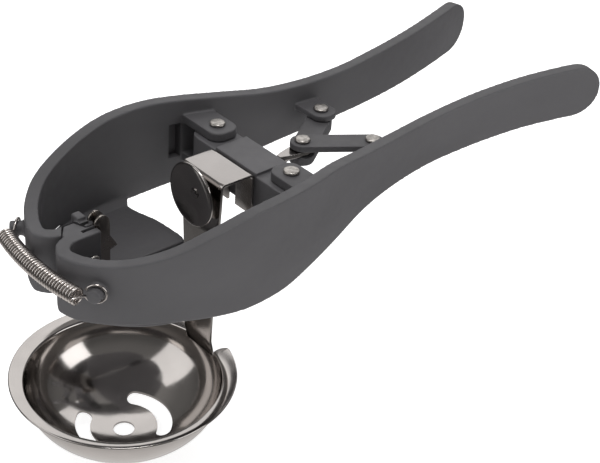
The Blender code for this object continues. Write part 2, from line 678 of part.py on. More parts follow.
def make_plunger_disc(parts):
    """Dished disc with a rounded rim and a hole for its centre rivet."""
    hole = SPIGOT_RADIUS + GAP
    edge = DISC_SHEET / 2
    radii = np.linspace(hole, DISC_RADIUS - edge, 7)
    front = [(radius, -disc_front(radius)) for radius in radii]
    back = [(radius, height - DISC_SHEET) for radius, height in front[::-1]]
    rim = [(DISC_RADIUS, front[-1][1] - edge / 2), (DISC_RADIUS, front[-1][1] - DISC_SHEET + edge / 2)]
    matrix = Matrix.Translation((0, 0, ROD_Z)) @ TO_FRONT
    return finish_piece(turned("plunger_disc", front + rim + back + front[:1], matrix, parts, 32), STEEL)


def make_disc_rivet(parts):
    """Centre rivet: a low head in the disc's dish and a shank through the disc."""
    head = 2.2 * MM
    face = -disc_front(0) + GAP
    shank_end = -disc_front(0) - DISC_SHEET + GAP / 2
    profile = [(0, face + 0.6 * MM), (head * 0.7, face + 0.45 * MM), (head, face), (SPIGOT_RADIUS, face),
               (SPIGOT_RADIUS, shank_end), (0, shank_end)]
    matrix = Matrix.Translation((0, 0, ROD_Z)) @ TO_FRONT
    return finish_piece(turned("disc_rivet", profile, matrix, parts, 16), RIVET_STEEL)


# ---------------------------------------------------------------- return spring

def make_return_spring(parts):
    """Tension spring on an arc round the noses, ending in a loop over each stud."""
    foot, normal = stud_frame(1)
    hold = foot + normal * STUD_LENGTH * STUD_HOLD
    front_x = -NOSE_REACH - SPRING_CLEARANCE - SPRING_WIRE / 2 - SPRING_RADIUS
    end = Vector((hold.x - 5.6 * MM, hold.y - 2.2 * MM))
    sag = end.x - front_x
    arc_radius = (end.y ** 2 + sag ** 2) / (2 * sag)
    centre = Vector((front_x + arc_radius, 0, STUD_Z))
    half_angle = math.asin(end.y / arc_radius)
    turns = max(8, round(2 * half_angle * arc_radius / SPRING_PITCH))
    count = turns * SPRING_TURN_POINTS
    coil = []
    for index in range(count + 1):
        sweep = math.pi - half_angle + 2 * half_angle * index / count
        out = Vector((math.cos(sweep), math.sin(sweep), 0))
        phase = math.tau * index / SPRING_TURN_POINTS
        turn = out * math.cos(phase) + Vector((0, 0, math.sin(phase)))
        coil.append(centre + out * arc_radius + turn * SPRING_RADIUS)
    points = spring_loop(1, coil[0])[::-1] + coil + spring_loop(-1, coil[-1])
    curve = bpy.data.curves.new("return_spring", "CURVE")
    curve.dimensions = "3D"
    curve.bevel_depth = SPRING_WIRE / 2
    curve.bevel_resolution = 0
    curve.use_fill_caps = True
    spline = curve.splines.new("POLY")
    spline.points.add(len(points) - 1)
    for point, place in zip(spline.points, points):
        point.co = (*place, 1)
    spring = mesh_from_curve(add_mesh_object("return_spring", curve, parts), parts)
    return finish_piece(spring, SPRING_STEEL, 80)


def spring_loop(side, start):
    """Wire from the coil's end on to a stud and most of the way round it."""
    foot, normal = stud_frame(side)
    centre = foot + normal * STUD_LENGTH * STUD_HOLD
    radius = STUD_RADIUS + GAP + SPRING_WIRE / 2
    towards = start - centre
    towards -= normal * towards.dot(normal)
    towards.normalize()
    up = Vector((0, 0, 1))
    up = (up - towards * up.dot(towards)).normalized()
    return [centre + (towards * math.cos(angle) + up * math.sin(angle)) * radius
            for angle in np.radians(np.arange(30, 331, 30))]


# ---------------------------------------------------------------- hanger and bowl

def bowl_wall_radius():
    return BOWL_RIM_RADIUS - BOWL_FLANGE


def make_bowl_hanger(parts, cutters):
    """Strap over the plunger rod: rear leg, flat top, long tapering front leg."""
    half_sheet = HANGER_SHEET / 2
    rear = BLOCK_FRONT - GAP - half_sheet
    front = HANGER_FRONT + half_sheet
    bend = 1.6 * MM
    foot_z = BOWL_RIM_Z - BOWL_FLANGE_DROP - HANGER_FOOT_DEPTH
    top = -half_sheet
    path = [(rear, -HANGER_REAR_DEPTH, 1.0)]
    path += [(x, z, 1.0) for x, z in arc_points(rear - bend, top - bend, bend, 0, math.pi / 2)]
    path += [(x, z, 1.0) for x, z in arc_points(front + bend, top - bend, bend, math.pi / 2, math.pi)]
    path += [(front, ROD_Z, 0.97), (front, -30 * MM, 0.55), (front, -50 * MM, 0.2),
             (front + 0.3 * MM, BOWL_RIM_Z + 3 * MM, 0.0), (HANGER_FOOT_X, foot_z, 0.0)]
    points = []
    for x, z, share in path:
        half = HANGER_FOOT_HALF + (HANGER_TOP_HALF - HANGER_FOOT_HALF) * share
        points += [(x, -half, z), (x, half, z)]
    faces = [(2 * i, 2 * i + 1, 2 * i + 3, 2 * i + 2) for i in range(len(path) - 1)]
    mesh = bpy.data.meshes.new("bowl_hanger")
    mesh.from_pydata(points, [], faces)
    hanger = add_mesh_object("bowl_hanger", mesh, parts)
    solidify = hanger.modifiers.new("sheet", "SOLIDIFY")
    solidify.thickness = HANGER_SHEET
    solidify.offset = 0
    solidify.use_even_offset = True
    half_slot = ROD_RADIUS + GAP
    slot = box("hanger_rear_slot", (rear - 3 * MM, -half_slot, -HANGER_REAR_DEPTH - 5 * MM),
               (rear + 3 * MM, half_slot, ROD_Z + half_slot), parts)
    combine(hanger, slot, "DIFFERENCE", cutters)
    hole = cylinder("hanger_rod_hole", ROD_RADIUS + GAP, 6 * MM,
                    Matrix.Translation((front, 0, ROD_Z)) @ TO_FRONT, parts)
    combine(hanger, hole, "DIFFERENCE", cutters)
    return finish_piece(hanger, STEEL)


def make_separator_bowl(parts, cutters):
    """Round bowl with a dished flange, a notch for the hanger, two curved slots and a drain hole."""
    wall = bowl_wall_radius()
    angles = np.linspace(0, math.pi / 2, 9)
    lip = -BOWL_FLANGE_DROP
    inner = [(wall * math.sin(a), lip - BOWL_DEPTH * math.cos(a)) for a in angles]
    outer = [((wall + BOWL_SHEET) * math.sin(a), lip - BOWL_SHEET - BOWL_DEPTH * math.cos(a))
             for a in angles[::-1]]
    flange = [(wall + 0.5 * MM, lip + 0.3 * MM), (BOWL_RIM_RADIUS - 0.3 * MM, 0),
              (BOWL_RIM_RADIUS, -BOWL_SHEET / 2), (BOWL_RIM_RADIUS - 0.3 * MM, -BOWL_SHEET),
              (wall + BOWL_SHEET + 0.4 * MM, lip - 0.5 * MM)]
    matrix = Matrix.Translation((BOWL_X, 0, BOWL_RIM_Z))
    bowl = turned("separator_bowl", inner + flange + outer, matrix, parts, 48)
    notch = level_plate("flange_notch", flange_notch_outline(), BOWL_RIM_Z + lip - HANGER_FOOT_DEPTH - GAP,
                        BOWL_RIM_Z + 3 * MM, parts)
    combine(bowl, notch, "DIFFERENCE", cutters)
    low_z = BOWL_RIM_Z + lip - BOWL_DEPTH - 10 * MM
    high_z = BOWL_RIM_Z + lip - BOWL_DEPTH * 0.4
    for middle in (SLOT_TURN, SLOT_TURN + math.pi):
        slot = level_plate("bowl_slot", slot_outline(middle), low_z, high_z, parts)
        combine(bowl, slot, "DIFFERENCE", cutters)
    drain = cylinder("bowl_drain", DRAIN_RADIUS, high_z - low_z,
                     Matrix.Translation((BOWL_X, 0, (low_z + high_z) / 2)), parts)
    combine(bowl, drain, "DIFFERENCE", cutters)
    return finish_piece(bowl, STEEL)


def flange_notch_outline():
    """Notch for the hanger: straight through the wall, then opening round the flange's corners."""
    half = HANGER_FOOT_HALF + 2 * GAP
    inner_x = HANGER_FOOT_X - HANGER_SHEET - 2 * GAP
    corner_x = BOWL_X + math.sqrt(bowl_wall_radius() ** 2 - half ** 2)
    radius = BOWL_FLANGE * 0.85
    outer_x = corner_x + radius + 5 * MM
    corner = arc_points(corner_x, half + radius, radius, -math.pi / 2, 0)
    right = [(inner_x, half), *corner, (outer_x, half + radius)]
    return [(x, -y) for x, y in right] + right[::-1]


def slot_outline(middle):
    """Curved slot with round ends, concentric with the bowl."""
    half = SLOT_WIDTH / 2
    start, end = middle - SLOT_SWEEP / 2, middle + SLOT_SWEEP / 2
    ends = []
    for angle in (start, end):
        ends.append((BOWL_X + SLOT_PITCH_RADIUS * math.cos(angle), SLOT_PITCH_RADIUS * math.sin(angle)))
    outline = arc_points(BOWL_X, 0, SLOT_PITCH_RADIUS + half, start, end)
    outline += arc_points(*ends[1], half, end, end + math.pi)[1:]
    outline += arc_points(BOWL_X, 0, SLOT_PITCH_RADIUS - half, end, start)[1:]
    outline += arc_points(*ends[0], half, start + math.pi, start + math.tau)[1:-1]
    return outline


def main():
    clear_scene()
    parts = make_collection(PART_NAME)
    cutters = make_collection("cutters")
    make_bridge_block(parts, cutters)
    for side in (-1, 1):
        make_lever(side, parts, cutters)
        make_egg_floor(side, parts)
        make_blade(side, parts, cutters)
        make_blade_rivet(side, parts)
        make_link(side, parts, cutters)
    make_pins(parts)
    make_plunger_rod(parts, cutters)
    make_plunger_disc(parts)
    make_disc_rivet(parts)
    make_return_spring(parts)
    make_bowl_hanger(parts, cutters)
    make_separator_bowl(parts, cutters)


main()
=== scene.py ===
"""Looks of the egg cracker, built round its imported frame.

Units are metres, in the frame's axes: +X towards the grips, +Y to the right, +Z up, and the
origin on the bridge block's top. Each lever is built here in one with its half of the egg
floor, and the block and links are softened copies of the frame's solids. Steel parts are
turned, bent or coiled here at a finer step than the frame needs.
"""
import math

import bmesh
import bpy
import numpy as np
from mathutils import Matrix, Vector, noise


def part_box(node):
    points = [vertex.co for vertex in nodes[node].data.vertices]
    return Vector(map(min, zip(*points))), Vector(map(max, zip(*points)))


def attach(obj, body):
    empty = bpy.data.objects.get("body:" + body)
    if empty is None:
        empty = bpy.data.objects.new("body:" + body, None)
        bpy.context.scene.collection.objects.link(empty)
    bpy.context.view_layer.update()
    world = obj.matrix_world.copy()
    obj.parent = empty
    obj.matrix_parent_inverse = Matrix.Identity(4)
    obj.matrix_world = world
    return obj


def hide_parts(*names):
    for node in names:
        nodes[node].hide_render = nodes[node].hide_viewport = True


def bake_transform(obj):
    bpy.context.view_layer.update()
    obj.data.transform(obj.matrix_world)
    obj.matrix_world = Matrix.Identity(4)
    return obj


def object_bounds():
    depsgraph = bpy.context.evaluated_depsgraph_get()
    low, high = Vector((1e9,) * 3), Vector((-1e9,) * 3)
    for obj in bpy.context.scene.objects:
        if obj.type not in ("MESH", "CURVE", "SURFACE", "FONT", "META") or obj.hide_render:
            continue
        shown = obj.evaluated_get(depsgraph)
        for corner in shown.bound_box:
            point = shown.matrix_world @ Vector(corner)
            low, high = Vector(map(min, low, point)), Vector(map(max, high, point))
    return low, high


MM = 0.001

# camera: it looks at a point inside the object from above the left grip side
CAMERA_TARGET = Vector((26.33, 0, -43.85)) * MM
CAMERA_DISTANCE = 553.24 * MM
CAMERA_AZIMUTH = math.radians(-43.29)
CAMERA_ELEVATION = math.radians(33.01)
CAMERA_ROLL = math.radians(4.33)
CAMERA_LENS_MM = 84.66
CAMERA_SENSOR_MM = 36

# sizes of the frame's parts, repeated here because only their meshes come with the frame
PIVOT_Y = 21.2 * MM
ROD_Z = -7.4 * MM
DISC_RIM_X = -28.7 * MM
DISC_RADIUS = 12.2 * MM
DISC_SHEET = 1.0 * MM
DISC_DISH = 2.2 * MM
DISC_HOLE_RADIUS = 1.6 * MM
DISC_RIVET_RADIUS = 2.0 * MM
DISC_RIVET_HEIGHT = 0.45 * MM
DISC_SHANK_RADIUS = 1.3 * MM
DISC_SHANK_LENGTH = 1.1 * MM
HANGER_SHEET = 1.0 * MM
HANGER_REAR_X = -9.0 * MM       # middle of the rear leg's sheet
HANGER_FRONT_X = -23.2 * MM     # middle of the front leg's sheet
HANGER_TOP_HALF = 11.3 * MM
HANGER_FOOT_HALF = 7.9 * MM
HANGER_FOOT_X = -21.7 * MM
HANGER_REAR_DEPTH = 17.0 * MM
ROD_HOLE_RADIUS = 2.1 * MM
BOWL_X = -57.6 * MM
BOWL_RIM_Z = -74.0 * MM
BOWL_RIM_RADIUS = 42.0 * MM
BOWL_WALL_RADIUS = 36.5 * MM
BOWL_FLANGE_DROP = 2.0 * MM
BOWL_SHEET = 0.8 * MM
BOWL_DEPTH = 25.5 * MM
SLOT_PITCH_RADIUS = 15.5 * MM
SLOT_WIDTH = 5.6 * MM
SLOT_SWEEP = math.radians(92)
SLOT_TURN = math.radians(-6)
DRAIN_RADIUS = 4.0 * MM

# levers
NOSE_REACH = 88.8 * MM
GRIP_REACH = 139.0 * MM
BELLY_HALF_WIDTH = 43.0 * MM
WALL = 4.9 * MM
SEAM = 0.3 * MM
NOSE_RADIUS = 8.6 * MM
ARM_LENGTH = 10.5 * MM
TIP_REACH = 12.2 * MM
EDGE_ROUND = 1.5 * MM
LUG_THICKNESS = 3.5 * MM
LUG_HALF_WIDTH = 6.0 * MM
LUG_CORNER = 4.5 * MM
UPPER_LUG_BOTTOM = -1.0 * MM
LOWER_LUG_TOP = -13.8 * MM
LINK_LUG_X = 46.5 * MM
LINK_LUG_Y = 14.8 * MM
LINK_LUG_HALF = 5.3 * MM
LINK_LUG_CORNER = 4.8 * MM
LINK_LUG_THICKNESS = 2.4 * MM
LINK_LUG_TOPS = {"left": -5.1 * MM, "right": -2.4 * MM}
PIN_HOLE_RADIUS = 2.3 * MM
BLADE_Y = 1.9 * MM
BLADE_SLOT_HALF = 0.75 * MM
BLADE_SLOT_FRONT_X = -75.5 * MM
BLADE_SLOT_REAR_X = -65.2 * MM
STUD_REACH = 5.2 * MM
STUD_EDGE = 0.5 * MM

# lock between the noses: the left arm's tongue lies in a recess of the right arm, before a stop
TONGUE_FRONT_X = -81.8 * MM
TONGUE_REAR_X = -72.7 * MM
TONGUE_TIP_FRONT_X = -78.6 * MM
TONGUE_TIP_REAR_X = -74.4 * MM
TONGUE_ROOT_Y = -1.5 * MM
TONGUE_TIP_Y = 4.6 * MM
TONGUE_TOP = -4.5 * MM
TONGUE_BOTTOM = -7.2 * MM
TONGUE_GAP = 0.4 * MM
STOP_LOW = Vector((-73.4, 3.6, -8.0)) * MM
STOP_HIGH = Vector((-70.0, 8.0, -2.8)) * MM

# pocket in the belly wall, in front of the upper lug
POCKET_FRONT_X = -11.4 * MM
POCKET_REAR_X = -6.6 * MM
POCKET_BOTTOM = -15.5 * MM
POCKET_TOP = -1.0 * MM
POCKET_DEPTH = 3.6 * MM

# voxel sizes and smoothing passes, which set how soft a moulding's edges are
LEVER_MOULD = (0.3 * MM, 14)
LINK_MOULD = (0.22 * MM, 6)
BLOCK_MOULD = (0.3 * MM, 7)
ROD_MOULD = (0.16 * MM, 8)

# egg floors
FLOOR_SHEET = 2.3 * MM
FLOOR_REAR_X = -30.2 * MM
FLOOR_FRONT_X = -84.0 * MM
FLOOR_MIDDLE_Z = -26.6 * MM
FLOOR_CREASE_Z = -28.9 * MM
FLOOR_CREASE_INSET = 4.6 * MM

# return spring
STUD_FOOT = Vector((-82.76, 22.6, -13.0)) * MM
STUD_NORMAL = Vector((-0.8307, 0.5567, 0))
STUD_HOLD = 2.6 * MM            # from the stud's foot out to its loop
STUD_RADIUS = 2.6 * MM
SPRING_WIRE = 1.0 * MM
SPRING_RADIUS = 2.7 * MM        # to the middle of the wire
SPRING_PITCH = 1.32 * MM
SPRING_FRONT_X = -92.85 * MM
SPRING_TURN_POINTS = 20
LOOP_TILT = 0.8 * MM            # how far a loop's near side stands off its stud's plane

# finishes and studio
PLASTIC_TINT = (1.0, 0.975, 1.03)
FLOOR_GLOW = 0.78
ROOM_TINT = (1.0, 0.985, 0.97)
ROOM_BRIGHTNESS = [(0.0, 0.85), (0.12, 0.65), (0.25, 0.1), (0.46, 0.05),    # from straight below
                   (0.6, 0.1), (0.8, 0.16), (1.0, 0.3)]                     # to straight above
SOFTBOXES = {   # place, width and height in metres, and power in watts
    "top_softbox": ((-0.05, -0.05, 0.95), 0.35, 0.25, 3),
    "left_softbox": ((-0.95, 0.3, 0.5), 0.85, 1.2, 3.4),
    "right_softbox": ((0.45, -0.95, 0.25), 0.6, 0.9, 3.2),
    "back_softbox": ((0.7, 0.78, 0.68), 1.5, 1.1, 5.0),
}
SOFTBOX_AIM = Vector((0, 0, -0.03))

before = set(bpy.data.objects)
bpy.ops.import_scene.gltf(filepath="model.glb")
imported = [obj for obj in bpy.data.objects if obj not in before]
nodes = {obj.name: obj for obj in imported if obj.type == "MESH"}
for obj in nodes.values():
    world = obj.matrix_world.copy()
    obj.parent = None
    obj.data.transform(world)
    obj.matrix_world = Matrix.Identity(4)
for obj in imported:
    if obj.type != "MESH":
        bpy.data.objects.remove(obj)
cad_low, cad_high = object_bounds()


# ---------------------------------------------------------------- mesh helpers

def new_object(name, mesh):
    """Put mesh or curve data into the scene as an object."""
    piece = bpy.data.objects.new(name, mesh)
    bpy.context.scene.collection.objects.link(piece)
    return piece


def mesh_from(name, points, faces):
    mesh = bpy.data.meshes.new(name)
    mesh.from_pydata([tuple(p) for p in points], [], faces)
    return new_object(name, mesh)


def settle(piece):
    """Apply a piece's modifiers and its matrix."""
    bpy.context.view_layer.update()
    graph = bpy.context.evaluated_depsgraph_get()
    mesh = bpy.data.meshes.new_from_object(piece.evaluated_get(graph))
    mesh.transform(piece.matrix_world)
    piece.modifiers.clear()
    piece.data = mesh
    piece.matrix_world = Matrix.Identity(4)
    return piece


def smooth_shade(piece, sharp_degrees=None):
    """Shade smooth, with edges sharper than an angle kept crisp."""
    piece.data.shade_smooth()
    if sharp_degrees is not None:
        piece.data.set_sharp_from_angle(angle=math.radians(sharp_degrees))
    return piece


def copy_of(name, node):
    """Copy of a frame node's mesh with its doubled points merged."""
    body = bmesh.new()
    body.from_mesh(nodes[node].data)
    bmesh.ops.remove_doubles(body, verts=body.verts, dist=0.002 * MM)
    mesh = bpy.data.meshes.new(name)
    body.to_mesh(mesh)
    body.free()
    return new_object(name, mesh)


def mould(piece, voxel, passes):
    """Remesh a piece evenly and relax it, so that edges and inner corners get soft radii."""
    remesh = piece.modifiers.new("remesh", "REMESH")
    remesh.mode = "VOXEL"
    remesh.voxel_size = voxel
    relax = piece.modifiers.new("relax", "SMOOTH")
    relax.factor = 0.5
    relax.iterations = passes
    return smooth_shade(settle(piece))


def face_outwards(piece):
    """Turn a closed mesh's faces outwards."""
    body = bmesh.new()
    body.from_mesh(piece.data)
    bmesh.ops.recalc_face_normals(body, faces=body.faces)
    body.to_mesh(piece.data)
    body.free()
    return piece


def arc(centre_x, centre_y, radius, start, end, step=math.radians(6)):
    """Points along an arc from start to end, in radians, both ends included."""
    count = max(2, round(abs(end - start) / step) + 1)
    return [(centre_x + radius * math.cos(a), centre_y + radius * math.sin(a))
            for a in np.linspace(start, end, count)]


def level_plate(name, outline, bottom, top):
    """Closed plate lying level between two heights."""
    count = len(outline)
    points = [(x, y, bottom) for x, y in outline] + [(x, y, top) for x, y in outline]
    faces = [tuple(range(count))[::-1], tuple(range(count, 2 * count))]
    faces += [(i, (i + 1) % count, count + (i + 1) % count, count + i) for i in range(count)]
    return face_outwards(mesh_from(name, points, faces))


def turned(name, profile, matrix=Matrix.Identity(4), steps=96):
    """Turned piece from (radius, height) points; points on the axis become poles."""
    points, rings = [], []
    for radius, height in profile:
        count = 1 if radius < 1e-7 else steps
        rings.append(list(range(len(points), len(points) + count)))
        points += [matrix @ Vector((radius * math.cos(a), radius * math.sin(a), height))
                   for a in np.linspace(0, math.tau, count, endpoint=False)]
    faces = []
    for low, high in zip(rings, rings[1:]):
        for i in range(steps):
            j = (i + 1) % steps
            quad = [low[i % len(low)], low[j % len(low)], high[j % len(high)], high[i % len(high)]]
            corners = list(dict.fromkeys(quad))
            if len(corners) > 2:
                faces.append(corners)
    return face_outwards(mesh_from(name, points, faces))


def rounded_path(corners, closed=False, step=math.radians(10)):
    """Path through (x, y, radius) corners, each rounded with a tangent arc."""
    path = []
    count = len(corners)
    for index, (x, y, radius) in enumerate(corners):
        if radius <= 0 or (not closed and index in (0, count - 1)):
            path.append((x, y))
            continue
        here = Vector((x, y))
        to_last = (Vector(corners[index - 1][:2]) - here).normalized()
        to_next = (Vector(corners[(index + 1) % count][:2]) - here).normalized()
        half = to_last.angle(to_next) / 2
        centre = here + (to_last + to_next).normalized() * (radius / math.sin(half))
        start = here + to_last * (radius / math.tan(half)) - centre
        end = here + to_next * (radius / math.tan(half)) - centre
        first = math.atan2(start.y, start.x)
        turn = math.atan2(end.y, end.x) - first
        turn = (turn + math.pi) % math.tau - math.pi
        path += arc(centre.x, centre.y, radius, first, first + turn, step)
    return path


def join(pieces):
    """One object from several closed meshes; the first one's name is kept."""
    body = bmesh.new()
    for piece in pieces:
        body.from_mesh(piece.data)
    first = pieces[0]
    body.to_mesh(first.data)
    body.free()
    for piece in pieces[1:]:
        bpy.data.objects.remove(piece, do_unlink=True)
    return first


def cut(piece, *tools):
    """Cut the tools' shapes out of a piece and remove them."""
    for tool in tools:
        modifier = piece.modifiers.new("cut", "BOOLEAN")
        modifier.operation = "DIFFERENCE"
        modifier.solver = "EXACT"
        modifier.object = tool
    settle(piece)
    for tool in tools:
        bpy.data.objects.remove(tool, do_unlink=True)
    return piece


def soften_edges(piece, width, segments=3, degrees=40):
    """Bevel the edges that turn by more than an angle."""
    bevel = piece.modifiers.new("edges", "BEVEL")
    bevel.width = width
    bevel.segments = segments
    bevel.limit_method = "ANGLE"
    bevel.angle_limit = math.radians(degrees)
    bevel.use_clamp_overlap = True
    return settle(piece)


def dent(piece, centre, direction, reach, depth, scale, seed):
    """Uneven hammer marks on the vertices near a head's centre, along a direction."""
    for vert in piece.data.vertices:
        away = (vert.co - centre).length
        if away < reach and (vert.co - centre).dot(direction) > 0:
            mark = noise.noise(vert.co * scale + Vector((seed, 0, 0)))
            vert.co += direction * depth * (mark - 0.3) * (1 - (away / reach) ** 4)
    return piece


# ---------------------------------------------------------------- materials

class Finish:
    """A node material on the Principled shader, with short calls for its textures."""

    def __init__(self, name, colour, metallic, roughness):
        self.material = bpy.data.materials.new(name)
        self.material.use_nodes = True
        self.tree = self.material.node_tree
        self.shader = self.tree.nodes["Principled BSDF"]
        self.shader.inputs["Base Color"].default_value = (*colour, 1)
        self.shader.inputs["Metallic"].default_value = metallic
        self.shader.inputs["Roughness"].default_value = roughness
        self.place = self.tree.nodes.new("ShaderNodeTexCoord").outputs["Object"]
        self.bumped = None

    def noise(self, scale, detail=3.0, stretch=None, roughness=0.5):
        place = self.place
        if stretch:
            mapping = self.tree.nodes.new("ShaderNodeMapping")
            mapping.inputs["Scale"].default_value = stretch
            self.tree.links.new(place, mapping.inputs["Vector"])
            place = mapping.outputs["Vector"]
        texture = self.tree.nodes.new("ShaderNodeTexNoise")
        texture.inputs["Scale"].default_value = scale
        texture.inputs["Detail"].default_value = detail
        texture.inputs["Roughness"].default_value = roughness
        self.tree.links.new(place, texture.inputs["Vector"])
        return texture.outputs["Fac"]

    def ramp(self, value, stops):
        node = self.tree.nodes.new("ShaderNodeValToRGB")
        elements = node.color_ramp.elements
        while len(elements) < len(stops):
            elements.new(0.5)
        for element, (place, colour) in zip(elements, stops):
            element.position = place
            element.color = (*colour, 1) if hasattr(colour, "__len__") else (colour,) * 3 + (1,)
        self.tree.links.new(value, node.inputs["Fac"])
        return node.outputs["Color"]

    def colour(self, value, stops):
        self.tree.links.new(self.ramp(value, stops), self.shader.inputs["Base Color"])
        return self

    def roughness(self, value, low, high):
        node = self.tree.nodes.new("ShaderNodeMapRange")
        node.inputs["From Min"].default_value = 0.3
        node.inputs["From Max"].default_value = 0.7
        node.inputs["To Min"].default_value = low
        node.inputs["To Max"].default_value = high
        self.tree.links.new(value, node.inputs["Value"])
        self.tree.links.new(node.outputs["Result"], self.shader.inputs["Roughness"])
        return self

    def bump(self, value, distance, strength=1.0):
        node = self.tree.nodes.new("ShaderNodeBump")
        node.inputs["Strength"].default_value = strength
        node.inputs["Distance"].default_value = distance
        self.tree.links.new(value, node.inputs["Height"])
        if self.bumped is not None:
            self.tree.links.new(self.bumped, node.inputs["Normal"])
        self.bumped = node.outputs["Normal"]
        self.tree.links.new(self.bumped, self.shader.inputs["Normal"])
        return self


def plastic(name, tone):
    """Satin dark moulding: fine grain, faint flow marks, slightly uneven gloss."""
    finish = Finish(name, (tone,) * 3, 0.0, 0.5)
    flow = finish.noise(45, 4, (0.35, 1, 1))
    dark, light = (tuple(tone * share * tint for tint in PLASTIC_TINT) for share in (0.93, 1.08))
    finish.colour(flow, [(0.3, dark), (0.7, light)])
    finish.roughness(finish.noise(260, 3), 0.44, 0.56)
    finish.bump(finish.noise(2600, 2), 0.012 * MM, 0.35)
    finish.bump(finish.noise(420, 2), 0.02 * MM, 0.15)
    finish.shader.inputs["Specular IOR Level"].default_value = 0.42
    return finish.material


def polished(name, colour, low, high, wave=0.02 * MM, wave_scale=70):
    """Polished sheet steel: soft waves from forming, hairline wear, uneven gloss."""
    finish = Finish(name, colour, 1.0, low)
    finish.roughness(finish.noise(180, 4), low, high)
    pale = tuple(min(1, c * 1.05) for c in colour)
    deep = tuple(c * 0.93 for c in colour)
    finish.colour(finish.noise(60, 4), [(0.3, deep), (0.7, pale)])
    finish.bump(finish.noise(wave_scale, 2), wave, 0.6)
    finish.bump(finish.noise(1500, 2, (0.06, 1, 1)), 0.0012 * MM, 0.5)
    return finish.material


def peened(name, colour):
    """Rivet heads: dull, pitted, lightly tarnished steel."""
    finish = Finish(name, colour, 1.0, 0.35)
    marks = finish.noise(900, 4, roughness=0.65)
    finish.roughness(marks, 0.26, 0.5)
    dark = tuple(c * 0.62 for c in colour)
    pale = tuple(min(1, c * 1.2) for c in colour)
    finish.colour(finish.noise(700, 5, roughness=0.6), [(0.35, dark), (0.62, pale)])
    finish.bump(marks, 0.05 * MM, 0.55)
    return finish.material


def drawn_wire(name, colour):
    """Bright spring wire with drawing lines and a little oil darkening."""
    finish = Finish(name, colour, 1.0, 0.22)
    finish.roughness(finish.noise(300, 2), 0.2, 0.28)
    finish.colour(finish.noise(160, 3), [(0.3, tuple(c * 0.85 for c in colour)), (0.7, colour)])
    finish.bump(finish.noise(1200, 1), 0.002 * MM, 0.2)
    return finish.material


MATERIALS = {
    "dark_plastic": plastic("dark_plastic", 0.1),
    "block_plastic": plastic("block_plastic", 0.12),
    "link_plastic": plastic("link_plastic", 0.098),
    "polished_steel": polished("polished_steel", (0.44, 0.415, 0.40), 0.12, 0.2),
    "bowl_steel": polished("bowl_steel", (0.52, 0.49, 0.47), 0.08, 0.14, 0.05 * MM, 45),
    "blade_steel": polished("blade_steel", (0.36, 0.33, 0.305), 0.18, 0.3),
    "rivet_steel": peened("rivet_steel", (0.46, 0.435, 0.41)),
    "spring_steel": drawn_wire("spring_steel", (0.72, 0.67, 0.64)),
}


def finish_piece(piece, body, stands_for, material):
    """Give a piece its material, its body and the frame nodes that it stands for."""
    piece.data.materials.clear()
    piece.data.materials.append(MATERIALS[material])
    if body:
        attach(piece, body)
    if stands_for:
        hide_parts(*stands_for)
    return piece


# ---------------------------------------------------------------- levers

def smooth_points(points, per_span):
    """Catmull-Rom curve through the points."""
    knots = np.array(points, float)
    ends = np.vstack([2 * knots[0] - knots[1], knots, 2 * knots[-1] - knots[-2]])
    result = []
    for index in range(len(knots) - 1):
        a, b, c, d = ends[index:index + 4]
        for t in np.arange(per_span) / per_span:
            result.append(0.5 * (2 * b + (c - a) * t + (2 * a - 5 * b + 4 * c - d) * t ** 2
                                 + (3 * b - a - 3 * c + d) * t ** 3))
    result.append(knots[-1])
    return np.array(result)


def lever_columns():
    """Columns of the right lever's outer face: x, y, top and bottom heights."""
    centre_x = -NOSE_REACH + NOSE_RADIUS
    centre_y = SEAM + NOSE_RADIUS
    arm_end = centre_x + ARM_LENGTH
    stations = [(arm_end, SEAM, -4.3 * MM, -27.0 * MM),
                ((arm_end + centre_x) / 2, SEAM, -4.4 * MM, -27.4 * MM)]
    for share, degrees in zip(np.linspace(0, 1, 5), np.linspace(270, 180, 5)):
        x = centre_x + NOSE_RADIUS * math.cos(math.radians(degrees))
        y = centre_y + NOSE_RADIUS * math.sin(math.radians(degrees))
        stations.append((x, y, -(4.5 + 0.5 * share) * MM, -(27.8 + 0.6 * share) * MM))
    # belly and grip: shares of the nose's or grip's reach, shares of the belly's half width
    belly = [(-0.972, 0.380, -4.8, -28.2), (-0.913, 0.580, -3.7, -26.9), (-0.822, 0.765, -1.4, -25.7),
             (-0.700, 0.895, 1.6, -25.9), (-0.550, 0.972, 5.6, -27.6), (-0.400, 1.000, 8.4, -28.9),
             (-0.225, 0.988, 9.2, -28.2), (-0.060, 0.920, 8.6, -26.0)]
    grip = [(0.080, 0.808, 7.4, -23.8), (0.206, 0.720, 5.5, -18.6), (0.333, 0.662, 5.2, -15.4),
            (0.475, 0.632, 6.3, -13.4), (0.610, 0.650, 8.2, -12.2), (0.716, 0.686, 9.5, -11.3),
            (0.823, 0.744, 10.7, -10.4), (0.930, 0.826, 11.6, -9.9), (1.000, 0.888, 12.0, -9.6)]
    for reach, rows in ((NOSE_REACH, belly), (GRIP_REACH, grip)):
        for along, across, top, bottom in rows:
            stations.append((along * reach, across * BELLY_HALF_WIDTH, top * MM, bottom * MM))
    path = smooth_points(stations, 9)[:-2]
    last = path[-1]
    along = (path[-1, :2] - path[-2, :2]) / np.linalg.norm(path[-1, :2] - path[-2, :2])
    middle, half = (last[2] + last[3]) / 2, (last[2] - last[3]) / 2
    tip = []
    for angle in np.radians(np.linspace(0, 86, 22))[1:]:
        place = last[:2] + along * TIP_REACH * math.sin(angle)
        height = half * math.cos(angle) ** 0.92
        tip.append((place[0], place[1], middle + height, middle - height))
    return np.vstack([path, tip])


COLUMNS = lever_columns()


